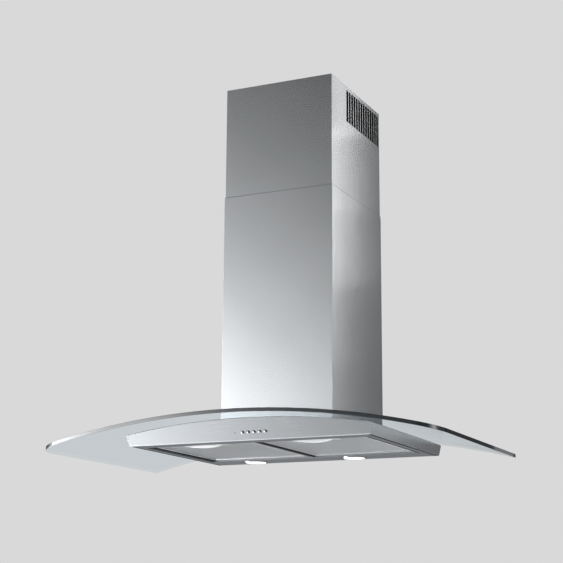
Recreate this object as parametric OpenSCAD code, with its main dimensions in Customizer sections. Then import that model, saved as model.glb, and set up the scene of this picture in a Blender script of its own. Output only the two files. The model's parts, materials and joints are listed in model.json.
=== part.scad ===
// Wall-mounted chimney hood with a bent glass canopy, in millimetres.
// +Z is up, the wall is the plane y = 0 and the room lies towards -Y.
// The origin is the middle of the two hanging holes, on the wall.

/* [Glass] */
// Width of the glass across the hood
glass_w = 900; // [800:10:1000]
// Depth of the glass from its back edge to its front edge
glass_d = 505; // [480:5:560]
// Thickness of the glass
glass_t = 8; // [6:1:10]
// Radius of the bend along the top face of the glass
arch_r = 1800; // [1700:50:2400]
// Radius of the front corners of the glass
glass_corner_r = 45; // [20:5:80]
// Gap between the wall and the back edge of the glass
glass_wall_gap = 22; // [15:1:24]
// Thickness of the gaskets under the glass
gasket_t = 1.5; // [1:0.5:2.5]
// Width of the gasket strips
gasket_w = 12; // [8:1:14]

/* [Body] */
// Width of the body along its rim
body_w = 552; // [540:4:600]
// Depth of the body along its rim
body_d = 412; // [404:2:450]
// Height of the body at its middle, up to its top plate
body_h = 44.5; // [42:0.5:60]
// Gap between the wall and the back of the body
body_wall_gap = 25; // [24:1:40]
// Angle by which the front panel leans out
front_lean = 20; // [12:1:24]
// Angle by which each side panel leans out
side_lean = 13; // [6:1:18]
// Thickness of the stainless sheet
sheet_t = 1; // [0.8:0.1:1.4]
// Width of each side rail of the underside
side_rail = 24; // [20:1:28]
// Width of the front rail of the underside
front_rail = 37; // [34:1:42]
// Width of the rear rail of the underside
rear_rail = 75; // [72:1:84]
// Height of the lips round the filter opening
lip_h = 10; // [8:0.5:12]
// Radius of each bumper between the body and the wall
bumper_r = 7; // [5:0.5:9]
// Inset of each bumper from the side of the body
bumper_inset = 56; // [40:2:70]
// Height of each bumper's lowest point above the underside
bumper_lift = 6; // [2:1:12]

/* [Grease filters] */
// Thickness of each filter
filter_t = 8; // [8:0.5:10]
// Recess of the filters above the rim
filter_recess = 3; // [3:0.25:4]
// Width of the bars of each filter frame
filter_bar = 12; // [9:1:16]
// Width of the step along both sides of each filter frame
step_w = 8; // [4:0.5:8]
// Depth of that step
step_d = 5; // [3:0.5:5]
// Thickness of the mesh pack
mesh_t = 5; // [3:0.5:6]
// Width of the divider between the filters
divider_w = 5.4; // [4:0.2:8]
// Gap all round each filter
filter_gap = 0.5; // [0.4:0.1:1]
// Width of the pull handle of each latch
pull_w = 90; // [70:2:110]
// Depth of the pull handle of each latch
pull_d = 17; // [14:1:18]
// Thickness of the pull handle at its middle
pull_t = 5; // [3:0.5:6]
// Width of the plate that holds each latch
latch_plate_w = 108; // [104:2:120]
// Depth of the plate that holds each latch
latch_plate_d = 44; // [42:1:50]
// Travel of each latch
latch_travel = 6; // [4:0.5:7]

/* [Lamps] */
// Distance between the two lamps
lamp_span = 248; // [220:4:280]
// Offset of the pair of lamps from the middle of the hood
lamp_shift = -38; // [-40:2:40]
// Distance from the back of the body to the lamps
lamp_back = 34; // [32:0.5:36]
// Radius of the bezel ring
lamp_ring_r = 30; // [28:0.5:31]
// Radius of the lamp opening in the rail
lamp_hole_r = 25.5; // [24:0.5:26]
// Height of the lamp housing
lamp_h = 24; // [22:0.5:26]

/* [Controls] */
// Distance between neighbouring buttons
button_pitch = 13; // [11:0.25:15]
// Radius of each button
button_r = 3.6; // [3:0.1:4.2]
// Height by which the buttons stand out of the panel
button_proud = 2.6; // [2.4:0.1:3.5]
// Travel of each button
button_travel = 2; // [1:0.25:2.25]
// Place of the middle button to the right of the middle of the hood
button_x = 22.5; // [0:0.5:60]
// Height of the row of buttons up the face of the panel
button_s = 17; // [15:0.5:22]
// Radius of the indicator lens
indicator_r = 1.6; // [1.2:0.1:2]
// Distance from the first button to the indicator lens
indicator_gap = 17.5; // [15:0.5:20]

/* [Flues] */
// Width of the lower flue cover
flue_w = 266; // [258:1:290]
// Depth of the lower flue cover from the wall
flue_d = 292.6; // [280:1:320]
// Height of the top of the lower flue above the rim
seam_h = 576; // [560:4:640]
// Height of the top of the upper flue above the rim
flue_top_h = 835; // [815:5:900]
// Length of the upper flue
upper_len = 480; // [470:5:520]
// Sliding gap between the two flues
flue_gap = 0.5; // [0.3:0.1:0.8]
// Width of the flanges that turn in at the wall
flue_flange = 11; // [9:0.5:11]
// Number of vent slots in each side
slot_count = 14; // [8:1:14]
// Distance between neighbouring vent slots
slot_pitch = 14.3; // [12:0.1:15]
// Width of each vent slot
slot_w = 10.8; // [6:0.2:12]
// Height of each vent slot
slot_h = 76; // [50:2:90]
// Distance from the top of the flue to the slots
slot_drop = 9; // [5:1:20]
// Distance from the wall to the first slot
slot_wall_gap = 8; // [6:1:14]
// Distance between the wall screws of the upper flue's bracket
bracket_span = 180; // [100:5:190]

/* [Blower chassis] */
// Gap between the chassis and the flanges of the upper flue
chassis_gap = 1.5; // [1:0.25:4]
// Depth of the chassis from the wall
chassis_d = 245; // [243:1:262]
// Height of the chassis
chassis_h = 336; // [332:2:352]
// Thickness of the chassis sheet
chassis_t = 1.2; // [1:0.1:1.6]
// Least thickness of the saddle seal on the glass
saddle_t = 10; // [9:0.5:14]
// Width of the chassis floor beside the air neck
neck_side = 17; // [17:0.5:24]
// Depth of the air neck through the glass
neck_d = 176; // [160:2:176]
// Distance from the wall to the air neck
neck_wall_gap = 54; // [53:1:56]
// Radius of the screws that clamp the glass
clamp_screw_r = 3; // [2.5:0.1:3]
// Outer radius of the bushes round those screws
bush_r = 5; // [4.5:0.1:5.2]
// Height of the hanging holes above the rim
hang_h = 330; // [310:2:344]
// Distance between the hanging holes
hang_span = 180; // [150:5:190]
// Radius of the hanging holes
hang_r = 4.5; // [3:0.25:5.5]
// Distance of the safety screw holes below the hanging holes
safety_drop = 200; // [150:5:220]
// Radius of the safety screw holes
safety_r = 3; // [2:0.25:4]

/* [Blower] */
// Distance from the wall to the impeller's axis
blower_wall_gap = 108; // [106:1:112]
// Height of the impeller's axis above the bottom of the chassis
blower_h = 126; // [122:1:132]
// Radius of the scroll where it starts
scroll_r = 86; // [84:0.5:88]
// Growth of the scroll's radius over three quarters of a turn
scroll_growth = 36; // [30:1:38]
// Half of the width inside the scroll
scroll_half = 70; // [66:1:74]
// Thickness of the scroll's walls
scroll_t = 1; // [0.8:0.1:1.2]
// Radius of the inlets in the side plates
inlet_r = 62; // [56:1:64]
// Outer radius of the impeller
impeller_r = 78; // [74:0.5:80]
// Radial depth of the impeller's blades
blade_d = 12; // [9:0.5:13]
// Number of blades round the impeller
blade_count = 30; // [18:2:36]
// Thickness of each blade
blade_t = 1.2; // [1:0.1:1.6]
// Radius of the motor
motor_r = 44; // [38:1:48]
// Length of the motor
motor_len = 58; // [50:1:60]
// Radius of the motor shaft
shaft_r = 4; // [3:0.5:5]
// Radius of the circle of the rubber mounts
mount_circle_r = 74; // [73:0.5:75]
// Radius of each rubber mount
mount_r = 7; // [5:0.5:8]

/* [Outlet] */
// Outer radius of the outlet collar, for a duct of 120
collar_r = 59.5; // [57:0.5:60]
// Wall of the outlet collar
collar_t = 1.5; // [1.5:0.1:2]
// Height of the outlet collar above its flange
collar_h = 48; // [44:1:60]
// Radius of the pin of the flaps
flap_pin_r = 1.5; // [1.2:0.1:2]
// Thickness of each flap
flap_t = 1; // [0.8:0.1:1.2]

/* [Electrics] */
// Length of the terminal box
terminal_w = 72; // [60:2:80]
// Depth of the terminal box
terminal_d = 44; // [40:1:48]
// Height of the terminal box
terminal_h = 30; // [28:1:36]
// Wall of the terminal box
terminal_wall = 2; // [1.5:0.25:3]
// Radius of the cable bore through the gland
gland_bore_r = 3.75; // [2:0.25:4.5]
// Radius of the run capacitor
capacitor_r = 15; // [12:0.5:16]
// Length of the run capacitor
capacitor_len = 52; // [40:1:56]

/* [Hidden] */
$fn = 72;
// Facets of the large bend in a preview
arch_fn = 360;

// Clearance between a moving piece and what stands beside it
side_clear = 0.3;
// Running clearance of a shaft or stem in its bore
run_clear = 0.05;
// Clearance of a screw in its hole
screw_clear = 0.2;
// Overshoot that makes a cut run past a face
cut = 1;

// Heights of the main faces
rim_z = -hang_h;
frame_z = rim_z + sheet_t;
plate_z = rim_z + body_h;
under_glass_z = plate_z + gasket_t;
crown_z = under_glass_z + glass_t;
base_z = crown_z + saddle_t;
lid_z = base_z + chassis_h;
lid_top_z = lid_z + chassis_t;
seam_z = rim_z + seam_h;
flue_top_z = rim_z + flue_top_h;

// The bend of the glass and of what follows it
arch_z = crown_z - arch_r;
under_glass_r = arch_r - glass_t;
plate_r = under_glass_r - gasket_t;
under_plate_r = plate_r - sheet_t;

// Depths of the main faces, towards the room
glass_back_y = -glass_wall_gap;
glass_front_y = glass_back_y - glass_d;
body_back_y = -body_wall_gap;
body_front_y = body_back_y - body_d;
neck_back_y = -neck_wall_gap;
neck_front_y = neck_back_y - neck_d;

// The filter opening in the underside
open_x = body_w / 2 - side_rail;
open_front_y = body_front_y + front_rail;
open_back_y = body_back_y - rear_rail;
filter_x0 = divider_w / 2 + filter_gap;
filter_x1 = open_x - filter_gap;
filter_y0 = open_front_y + filter_gap;
filter_y1 = open_back_y - filter_gap;
filter_z0 = rim_z + filter_recess;
filter_z1 = filter_z0 + filter_t;
filter_mid_x = (filter_x0 + filter_x1) / 2;

// Hooks on the rear bar of each filter, which lie over the rear lip
hook_w = 14;
hook_span = (filter_x1 - filter_x0) * 2 / 3;
hook_reach = 6;
hook_t = 2;
hook_z = filter_z1 - hook_t;
rear_lip_h = hook_z - side_clear - frame_z;

// The latch in its pocket
bolt_w = 14;
bolt_t = 3;
bolt_len = 30;
bolt_back = 1.5;
stem_len = 8;
pull_end_t = 1.5;
pocket_roof = 2;
bolt_z1 = filter_z1 - pocket_roof - side_clear;
bolt_z0 = bolt_z1 - bolt_t;
pull_z1 = filter_z0 - side_clear;

// Lamps
lamp_y = body_back_y - lamp_back;
lamp_ring_t = 1.6;
lamp_collar_h = 5;
lamp_collar_t = 1;
lamp_lens_r = lamp_hole_r - lamp_collar_t;
lamp_lens_t = 2.5;
lamp_shell_r = lamp_hole_r + 2.5;
lamp_shell_t = 1;
lamp_socket_r = 8;
lamp_socket_h = 8;
lamp_bulb_r = 5;
lamp_seat_h = lamp_ring_r - 1;
transformer_w = 66;
transformer_d = 42;
transformer_h = 20;

// Switches behind the front panel, measured inwards from its face
block_margin = 6;
block_half_h = 7;
block_d = 22;
cap_in = 3;
stem_r = 1.8;
stem_in = 14;
board_t = 1.6;
board_half_h = 8;
button_bore_r = button_r + side_clear;
first_button_x = button_x - 2 * button_pitch;
indicator_x = first_button_x - indicator_gap;
block_x0 = indicator_x - block_margin;
block_x1 = first_button_x + 4 * button_pitch + button_bore_r + block_margin / 2;

// Upper flue, which slides inside the lower one
upper_w = flue_w - 2 * sheet_t - 2 * flue_gap;
upper_d = flue_d - sheet_t - flue_gap;
upper_z = flue_top_z - upper_len;
upper_wall_gap = sheet_t + flue_gap;

// Chassis between the flanges of the upper flue
chassis_w = upper_w - 2 * flue_flange - 2 * chassis_gap;
neck_w = chassis_w - 2 * neck_side;

// Inner faces of the panels, the edge gasket and the chassis
gasket_back_y = body_back_y - 2 * sheet_t - gasket_w;
chassis_in_x = chassis_w / 2 - chassis_t;
chassis_in_y = -chassis_d + chassis_t;

// Clamp screws at the corners of the neck
clamp_x = (neck_w / 2 + chassis_in_x) / 2;
clamp_back_y = (neck_back_y + gasket_back_y) / 2;
clamp_front_y = (neck_front_y + chassis_in_y) / 2;
clamp_head_r = 6;
clamp_head_t = 3;
clamp_nut_r = 5.2;
clamp_nut_t = 5;
saddle_in = 2;

// Blower
blower_y = -blower_wall_gap;
blower_z = base_z + blower_h;
scroll_end_r = scroll_r + scroll_growth;
neck_top = lid_z - blower_z;
scroll_step = 10;
plate_out = scroll_half + scroll_t;
inlet_lip = 6;
inlet_lip_t = 1.6;
impeller_half = scroll_half - inlet_lip - 2;
impeller_ring_t = 2;
hub_r = 11;
hub_len = 14;
motor_in = 6;
shaft_blind = 6;
boss_r = 20;
mount_h = 6;
arm_t = 2;
arm_w = 14;
foot_w = 12;

// Outlet
collar_y = blower_y - scroll_end_r / 2;
collar_in_r = collar_r - collar_t;
collar_flange_w = 8;
collar_flange_t = 2;
flap_z = lid_top_z + 14;
flap_r = collar_in_r - 1;
ledge_w = 2;
ledge_t = 2;
knuckle_r = flap_pin_r + 1.5;
knuckle_count = 4;
knuckle_pitch = 20;
pin_half = collar_r - collar_t / 2;

// Electrics on the lid, behind the collar
terminal_x = -chassis_w / 2 + 8;
terminal_y = -6 - terminal_d;
cover_t = 2;
gland_inset = 14;
gland_flange_r = 9;
gland_flange_t = 4;
gland_body_r = 7.5;
gland_body_len = 14;
block_count = 3;

// Bracket of the upper flue
bracket_t = 1.5;
bracket_h = 30;
bracket_z = flue_top_z - slot_drop - slot_h - bracket_h - 30;
bracket_arm = 24;
bracket_tab = 36;
bracket_hole_r = 2.5;
bracket_half = upper_w / 2 - sheet_t - side_clear;
bracket_foot = upper_w / 2 - flue_flange - 10;

// A block large enough to hold any half of the hood
far = 4 * glass_w;

// Everything below a face that is bent like the glass
module under_arch(r) {
  translate([0, far / 2, arch_z])
    rotate([90, 0, 0])
      cylinder(r = r, h = far, $fn = arch_fn);
}

// Everything behind the leaning front face, moved in by d
module behind_front(d) {
  translate([0, body_front_y, rim_z])
    rotate([front_lean, 0, 0])
      translate([-far / 2, d, -far / 2])
        cube(far);
}

// Everything to the right of the leaning left face, moved in by d
module inside_left(d) {
  translate([-body_w / 2, 0, rim_z])
    rotate([0, -side_lean, 0])
      translate([d, -far / 2, -far / 2])
        cube(far);
}

module inside_right(d) {
  mirror([1, 0, 0])
    inside_left(d);
}

module before_back(d) {
  translate([-far / 2, body_back_y - d - far, -far / 2])
    cube(far);
}

module above_rim(h) {
  translate([-far / 2, -far / 2, rim_z + h])
    cube(far);
}

module below_rim(h) {
  translate([-far / 2, -far / 2, rim_z + h - far])
    cube(far);
}

// The space inside the body's panels, moved in by d, below a bent face of radius r
module body_space(d, r) {
  intersection() {
    under_arch(r);
    behind_front(d);
    inside_left(d);
    inside_right(d);
    before_back(d);
    above_rim(0);
  }
}

// A block from corner a to corner b
module block(a, b) {
  translate(a)
    cube(b - a);
}

// The upright shaft of the air neck, cut through what lies between z0 and z1
module neck_cut(z0, z1) {
  block([-neck_w / 2, neck_front_y, z0], [neck_w / 2, neck_back_y, z1]);
}

module at_clamps() {
  for (x = [-clamp_x, clamp_x], y = [clamp_back_y, clamp_front_y])
    translate([x, y, 0])
      children();
}

// Places a piece on the front panel, with its own +Z pointing into the body
module on_front(x) {
  translate([0, body_front_y, rim_z])
    rotate([front_lean, 0, 0])
      translate([x, 0, button_s])
        rotate([-90, 0, 0])
          children();
}

module tube(r_out, r_in, h) {
  difference() {
    cylinder(r = r_out, h = h);
    translate([0, 0, -cut])
      cylinder(r = r_in, h = h + 2 * cut);
  }
}

module glass_outline() {
  corner_y = glass_front_y + glass_corner_r;
  corner_x = glass_w / 2 - glass_corner_r;
  translate([-glass_w / 2, corner_y])
    square([glass_w, glass_back_y - corner_y]);
  translate([-corner_x, glass_front_y])
    square([2 * corner_x, glass_corner_r + cut]);
  for (x = [-corner_x, corner_x])
    translate([x, corner_y])
      circle(r = glass_corner_r);
}

module glass_canopy() {
  color([0.78, 0.83, 0.85, 0.45])
    difference() {
      intersection() {
        under_arch(arch_r);
        translate([0, 0, crown_z - far / 2])
          linear_extrude(far)
            glass_outline();
        above_rim(-far / 8);
      }
      under_arch(under_glass_r);
      neck_cut(rim_z, crown_z + cut);
      at_clamps()
        translate([0, 0, rim_z])
          cylinder(r = bush_r, h = crown_z + cut - rim_z);
    }
}

// Bent strip between two radii
module bent_layer(r_out, r_in) {
  difference() {
    intersection() {
      under_arch(r_out);
      children();
    }
    under_arch(r_in);
  }
}

module glass_gasket() {
  color([0.12, 0.12, 0.13])
    bent_layer(under_glass_r, plate_r)
      difference() {
        body_space(2 * sheet_t, under_glass_r);
        body_space(2 * sheet_t + gasket_w, under_glass_r + cut);
      }
}

module neck_gasket() {
  x = chassis_w / 2 - saddle_in;
  y0 = -chassis_d + saddle_in;
  y1 = gasket_back_y - side_clear;
  color([0.12, 0.12, 0.13])
    difference() {
      bent_layer(under_glass_r, plate_r)
        block([-x, y0, rim_z], [x, y1, crown_z]);
      neck_cut(rim_z, crown_z);
      at_clamps()
        translate([0, 0, rim_z])
          cylinder(r = bush_r, h = crown_z - rim_z);
    }
}

module chassis_saddle() {
  x = chassis_w / 2 - saddle_in;
  y0 = -chassis_d + saddle_in;
  color([0.15, 0.15, 0.16])
    difference() {
      block([-x, y0, rim_z], [x, glass_back_y - saddle_in, base_z]);
      under_arch(arch_r);
      neck_cut(rim_z, base_z + cut);
      at_clamps()
        translate([0, 0, rim_z])
          cylinder(r = bush_r, h = base_z + cut - rim_z);
    }
}

module glass_bushes() {
  color([0.9, 0.9, 0.88])
    difference() {
      at_clamps()
        translate([0, 0, rim_z])
          tube(bush_r, clamp_screw_r + screw_clear / 2, base_z - rim_z);
      under_arch(plate_r);
    }
}

module glass_fixings() {
  reach = clamp_x + clamp_head_r;
  head_z = arch_z + sqrt(under_plate_r * under_plate_r - reach * reach) - clamp_head_t;
  color([0.75, 0.75, 0.77])
    at_clamps() {
      translate([0, 0, head_z])
        cylinder(r = clamp_head_r, h = clamp_head_t);
      translate([0, 0, head_z + clamp_head_t])
        cylinder(r = clamp_screw_r, h = base_z + chassis_t + clamp_nut_t + 2 - head_z - clamp_head_t);
      translate([0, 0, base_z + chassis_t])
        cylinder(r = clamp_nut_r, h = clamp_nut_t, $fn = 6);
    }
}

module front_panel() {
  color([0.76, 0.77, 0.78])
    difference() {
      body_space(0, plate_r);
      behind_front(sheet_t);
      for (i = [0:4])
        on_front(first_button_x + i * button_pitch)
          translate([0, 0, -cut])
            cylinder(r = button_bore_r, h = sheet_t + 2 * cut);
      on_front(indicator_x)
        translate([0, 0, -cut])
          cylinder(r = indicator_r, h = sheet_t + 2 * cut);
    }
}

module left_side_panel() {
  color([0.62, 0.63, 0.65])
    difference() {
      intersection() {
        body_space(0, plate_r);
        behind_front(sheet_t);
      }
      inside_left(sheet_t);
    }
}

module right_side_panel() {
  mirror([1, 0, 0])
    left_side_panel();
}

module back_panel() {
  color([0.62, 0.63, 0.65])
    difference() {
      intersection() {
        body_space(0, plate_r);
        inside_left(sheet_t);
        inside_right(sheet_t);
      }
      before_back(sheet_t);
    }
}

module body_top_plate() {
  color([0.68, 0.69, 0.7])
    difference() {
      body_space(sheet_t, plate_r);
      under_arch(under_plate_r);
      neck_cut(rim_z, crown_z);
      at_clamps()
        translate([0, 0, rim_z])
          cylinder(r = clamp_screw_r + screw_clear, h = crown_z - rim_z);
    }
}

// Underside of the body, with lips round the filter opening
module bottom_frame() {
  t = sheet_t;
  color([0.5, 0.51, 0.53])
    difference() {
      union() {
        intersection() {
          body_space(t, plate_r);
          below_rim(t);
        }
        block([-open_x - t, open_front_y - t, rim_z], [open_x + t, open_back_y, rim_z + lip_h]);
        block([-open_x - t, open_back_y - t, rim_z], [open_x + t, open_back_y + t, frame_z + rear_lip_h]);
      }
      block([-open_x, open_front_y, rim_z - cut], [open_x, open_back_y, rim_z + lip_h + cut]);
      for (x = lamp_places())
        translate([x, lamp_y, rim_z - cut])
          cylinder(r = lamp_hole_r, h = t + 2 * cut);
    }
}

module filter_divider() {
  color([0.06, 0.06, 0.07])
    block([-divider_w / 2, open_front_y, frame_z], [divider_w / 2, open_back_y, rim_z + lip_h]);
}

module wall_bumpers() {
  x = body_w / 2 - bumper_inset;
  z = frame_z + bumper_lift + bumper_r;
  color([0.1, 0.1, 0.11])
    for (side = [-1, 1])
      translate([side * x, 0, z])
        rotate([90, 0, 0])
          cylinder(r = bumper_r, h = body_wall_gap);
}

// One filter frame on the right-hand side of the divider
module filter_frame() {
  plate_x0 = filter_mid_x - latch_plate_w / 2;
  plate_x1 = filter_mid_x + latch_plate_w / 2;
  pocket_half = bolt_w / 2 + side_clear;
  pocket_y1 = filter_y0 + bolt_len + latch_travel + side_clear;
  stem_y0 = filter_y0 + bolt_len - stem_len - side_clear;
  color([0.7, 0.71, 0.72])
    difference() {
      union() {
        difference() {
          block([filter_x0, filter_y0, filter_z0], [filter_x1, filter_y1, filter_z1]);
          block([filter_x0 + filter_bar, filter_y0 + filter_bar, filter_z0 - cut],
                [filter_x1 - filter_bar, filter_y1 - filter_bar, filter_z1 + cut]);
        }
        block([plate_x0, filter_y0, filter_z0], [plate_x1, filter_y0 + latch_plate_d, filter_z1]);
        for (side = [-1, 1])
          translate([filter_mid_x + side * hook_span / 2 - hook_w / 2, filter_y1 - filter_bar, hook_z])
            cube([hook_w, filter_bar + hook_reach, hook_t]);
      }
      block([filter_mid_x - pocket_half, filter_y0 - cut, bolt_z0 - side_clear],
            [filter_mid_x + pocket_half, pocket_y1, bolt_z1 + side_clear]);
      block([filter_mid_x - pocket_half, stem_y0, filter_z0 - cut],
            [filter_mid_x + pocket_half, pocket_y1, bolt_z1]);
      for (x = [filter_x0, filter_x1])
        block([x - step_w, filter_y0 - cut, filter_z0 - cut],
              [x + step_w, filter_y1 + cut, filter_z0 + step_d]);
    }
}

module filter_mesh() {
  mesh_z = (filter_z0 + filter_z1 - mesh_t) / 2;
  color([0.6, 0.61, 0.62])
    difference() {
      block([filter_x0 + filter_bar, filter_y0 + filter_bar, mesh_z],
            [filter_x1 - filter_bar, filter_y1 - filter_bar, mesh_z + mesh_t]);
      block([filter_mid_x - latch_plate_w / 2, filter_y0, filter_z0],
            [filter_mid_x + latch_plate_w / 2, filter_y0 + latch_plate_d, filter_z1]);
    }
}

// Radius of an arc from its width and its rise
function arc_r(width, rise) = (width * width / 4 + rise * rise) / (2 * rise);

// D-shaped pull, thickest at its middle, with its stem and bolt
module filter_latch() {
  plan_r = arc_r(pull_w, pull_d);
  belly = pull_t - pull_end_t;
  belly_r = arc_r(pull_w, belly);
  pull_y = filter_y0 + bolt_len - stem_len - (pull_d - stem_len) / 2;
  color([0.93, 0.93, 0.94])
    union() {
      translate([filter_mid_x, pull_y, pull_z1 - pull_t])
        intersection() {
          linear_extrude(pull_t)
            intersection() {
              translate([0, pull_d - plan_r])
                circle(r = plan_r);
              translate([-pull_w, 0])
                square([2 * pull_w, pull_d]);
            }
          translate([0, pull_d + cut, belly_r])
            rotate([90, 0, 0])
              cylinder(r = belly_r, h = pull_d + 2 * cut);
        }
      block([filter_mid_x - bolt_w / 2, filter_y0 + bolt_len - stem_len, pull_z1],
            [filter_mid_x + bolt_w / 2, filter_y0 + bolt_len, bolt_z0]);
      block([filter_mid_x - bolt_w / 2, filter_y0 + bolt_back, bolt_z0],
            [filter_mid_x + bolt_w / 2, filter_y0 + bolt_len, bolt_z1]);
    }
}

module right_filter_frame() { filter_frame(); }

module right_filter_mesh() { filter_mesh(); }

module right_filter_latch() { filter_latch(); }

module left_filter_frame() {
  mirror([1, 0, 0])
    filter_frame();
}

module left_filter_mesh() {
  mirror([1, 0, 0])
    filter_mesh();
}

module left_filter_latch() {
  mirror([1, 0, 0])
    filter_latch();
}

// Places of the two lamps across the hood
function lamp_places() = [lamp_shift - lamp_span / 2, lamp_shift + lamp_span / 2];

module at_lamp(i) {
  translate([lamp_places()[i], lamp_y, rim_z])
    children();
}

module lamp_ring() {
  color([0.85, 0.86, 0.87])
    difference() {
      union() {
        translate([0, 0, -lamp_ring_t])
          cylinder(r = lamp_ring_r, h = lamp_ring_t);
        cylinder(r = lamp_hole_r, h = lamp_collar_h);
      }
      translate([0, 0, -lamp_ring_t - cut])
        cylinder(r = lamp_lens_r - lamp_collar_t, h = lamp_ring_t + 2 * cut);
      cylinder(r = lamp_lens_r, h = lamp_collar_h + cut);
    }
}

module lamp_lens() {
  color([0.97, 0.97, 0.95])
    cylinder(r = lamp_lens_r, h = lamp_lens_t);
}

module lamp_housing() {
  color([0.7, 0.7, 0.72])
    translate([0, 0, sheet_t])
      difference() {
        cylinder(r = lamp_shell_r, h = lamp_h);
        translate([0, 0, -cut])
          cylinder(r = lamp_shell_r - lamp_shell_t, h = lamp_h - lamp_shell_t + cut);
      }
}

module lamp_bulb() {
  top = sheet_t + lamp_h - lamp_shell_t;
  color([0.95, 0.94, 0.9])
    union() {
      translate([0, 0, top - lamp_socket_h])
        cylinder(r = lamp_socket_r, h = lamp_socket_h);
      translate([0, 0, lamp_lens_t + 2])
        cylinder(r = lamp_bulb_r, h = top - lamp_socket_h - lamp_lens_t - 2);
    }
}

module left_lamp_housing() { at_lamp(0) lamp_housing(); }

module left_lamp_ring() { at_lamp(0) lamp_ring(); }

module left_lamp_lens() { at_lamp(0) lamp_lens(); }

module left_lamp_bulb() { at_lamp(0) lamp_bulb(); }

module right_lamp_housing() { at_lamp(1) lamp_housing(); }

module right_lamp_ring() { at_lamp(1) lamp_ring(); }

module right_lamp_lens() { at_lamp(1) lamp_lens(); }

module right_lamp_bulb() { at_lamp(1) lamp_bulb(); }

module lamp_transformer() {
  color([0.92, 0.92, 0.9])
    translate([lamp_shift - transformer_w / 2, lamp_y - transformer_d / 2, frame_z])
      cube([transformer_w, transformer_d, transformer_h]);
}

// One push button with its stem
module button(i) {
  color([0.2, 0.2, 0.21])
    on_front(first_button_x + i * button_pitch)
      union() {
        translate([0, 0, -button_proud])
          cylinder(r1 = button_r - 0.5, r2 = button_r, h = 0.5);
        translate([0, 0, -button_proud + 0.5])
          cylinder(r = button_r, h = button_proud - 0.5 + cap_in);
        translate([0, 0, cap_in])
          cylinder(r = stem_r, h = stem_in - cap_in);
      }
}

module stop_button() { button(0); }

module light_button() { button(1); }

module speed_1_button() { button(2); }

module speed_2_button() { button(3); }

module speed_3_button() { button(4); }

module indicator_lens() {
  proud = 0.6;
  color([0.75, 0.2, 0.15])
    on_front(indicator_x)
      translate([0, 0, -proud])
        cylinder(r = indicator_r, h = proud + cap_in);
}

module switch_block() {
  color([0.12, 0.12, 0.13])
    difference() {
      on_front(0)
        block([block_x0, -block_half_h, sheet_t], [block_x1, block_half_h, block_d]);
      for (i = [0:4])
        on_front(first_button_x + i * button_pitch) {
          cylinder(r = button_bore_r, h = cap_in + button_travel + side_clear);
          cylinder(r = stem_r + run_clear, h = stem_in + button_travel + side_clear);
        }
      on_front(indicator_x)
        cylinder(r = indicator_r, h = cap_in);
    }
}

module control_board() {
  color([0.1, 0.35, 0.2])
    on_front(0)
      block([block_x0, -board_half_h, block_d], [block_x1, board_half_h, block_d + board_t]);
}

// Folded frame of the blower: back, sides and the base with its neck
module chassis() {
  x = chassis_w / 2;
  t = chassis_t;
  color([0.66, 0.68, 0.7])
    difference() {
      block([-x, -chassis_d, base_z], [x, 0, lid_z]);
      block([-x + t, -chassis_d - cut, base_z + t], [x - t, -t, lid_z + cut]);
      neck_cut(base_z - cut, base_z + t + cut);
      at_clamps()
        translate([0, 0, base_z - cut])
          cylinder(r = clamp_screw_r + screw_clear, h = t + 2 * cut);
      for (side = [-1, 1]) {
        translate([side * hang_span / 2, cut, 0])
          rotate([90, 0, 0])
            cylinder(r = hang_r, h = t + 2 * cut);
        translate([side * hang_span / 2, cut, -safety_drop])
          rotate([90, 0, 0])
            cylinder(r = safety_r, h = t + 2 * cut);
      }
    }
}

module chassis_front() {
  x = chassis_w / 2 - chassis_t;
  color([0.66, 0.68, 0.7])
    block([-x, -chassis_d, base_z + chassis_t], [x, -chassis_d + chassis_t, lid_z]);
}

module chassis_lid() {
  x = chassis_w / 2;
  color([0.66, 0.68, 0.7])
    difference() {
      block([-x, -chassis_d, lid_z], [x, 0, lid_top_z]);
      translate([0, collar_y, lid_z - cut])
        cylinder(r = collar_in_r, h = chassis_t + 2 * cut);
    }
}

// A point of the scroll, a turn of a degrees from the top over the back, moved out by d
function scroll_point(a, d) =
  let (r = scroll_r + scroll_growth * a / 270 + d)
  [r * sin(a), r * cos(a)];

// Side view of the scroll with its outlet, moved out by d; x points to the wall
module scroll_outline(d, top) {
  polygon(concat(
    [[d, top], [d, scroll_r + d]],
    [for (a = [scroll_step:scroll_step:270]) scroll_point(a, d)],
    [[-scroll_end_r - d, top]]
  ));
}

// Turns a side view into a slab from x0 to x1, round the blower's axis
module across(x0, x1) {
  translate([x0, blower_y, blower_z])
    rotate([90, 0, 90])
      linear_extrude(x1 - x0)
        children();
}

module scroll_wrap() {
  color([0.72, 0.73, 0.74])
    difference() {
      across(-scroll_half, scroll_half)
        scroll_outline(scroll_t, neck_top);
      across(-scroll_half - cut, scroll_half + cut)
        scroll_outline(0, neck_top + cut);
    }
}

// Right-hand side plate with its inlet and the foot that is fixed to the lid
module scroll_plate() {
  color([0.72, 0.73, 0.74])
    difference() {
      union() {
        across(scroll_half, plate_out)
          scroll_outline(scroll_t, neck_top);
        translate([scroll_half - inlet_lip, blower_y, blower_z])
          rotate([0, 90, 0])
            cylinder(r = inlet_r + inlet_lip_t, h = inlet_lip + scroll_t);
        block([plate_out, blower_y - scroll_end_r, lid_z - scroll_t],
              [plate_out + foot_w, blower_y, lid_z]);
      }
      translate([scroll_half - inlet_lip - cut, blower_y, blower_z])
        rotate([0, 90, 0])
          cylinder(r = inlet_r, h = inlet_lip + scroll_t + 2 * cut);
    }
}

module scroll_right_plate() { scroll_plate(); }

module scroll_left_plate() {
  mirror([1, 0, 0])
    scroll_plate();
}

// Places a round piece on the blower's axis, starting at x
module on_axis(x) {
  translate([x, blower_y, blower_z])
    rotate([0, 90, 0])
      children();
}

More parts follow.
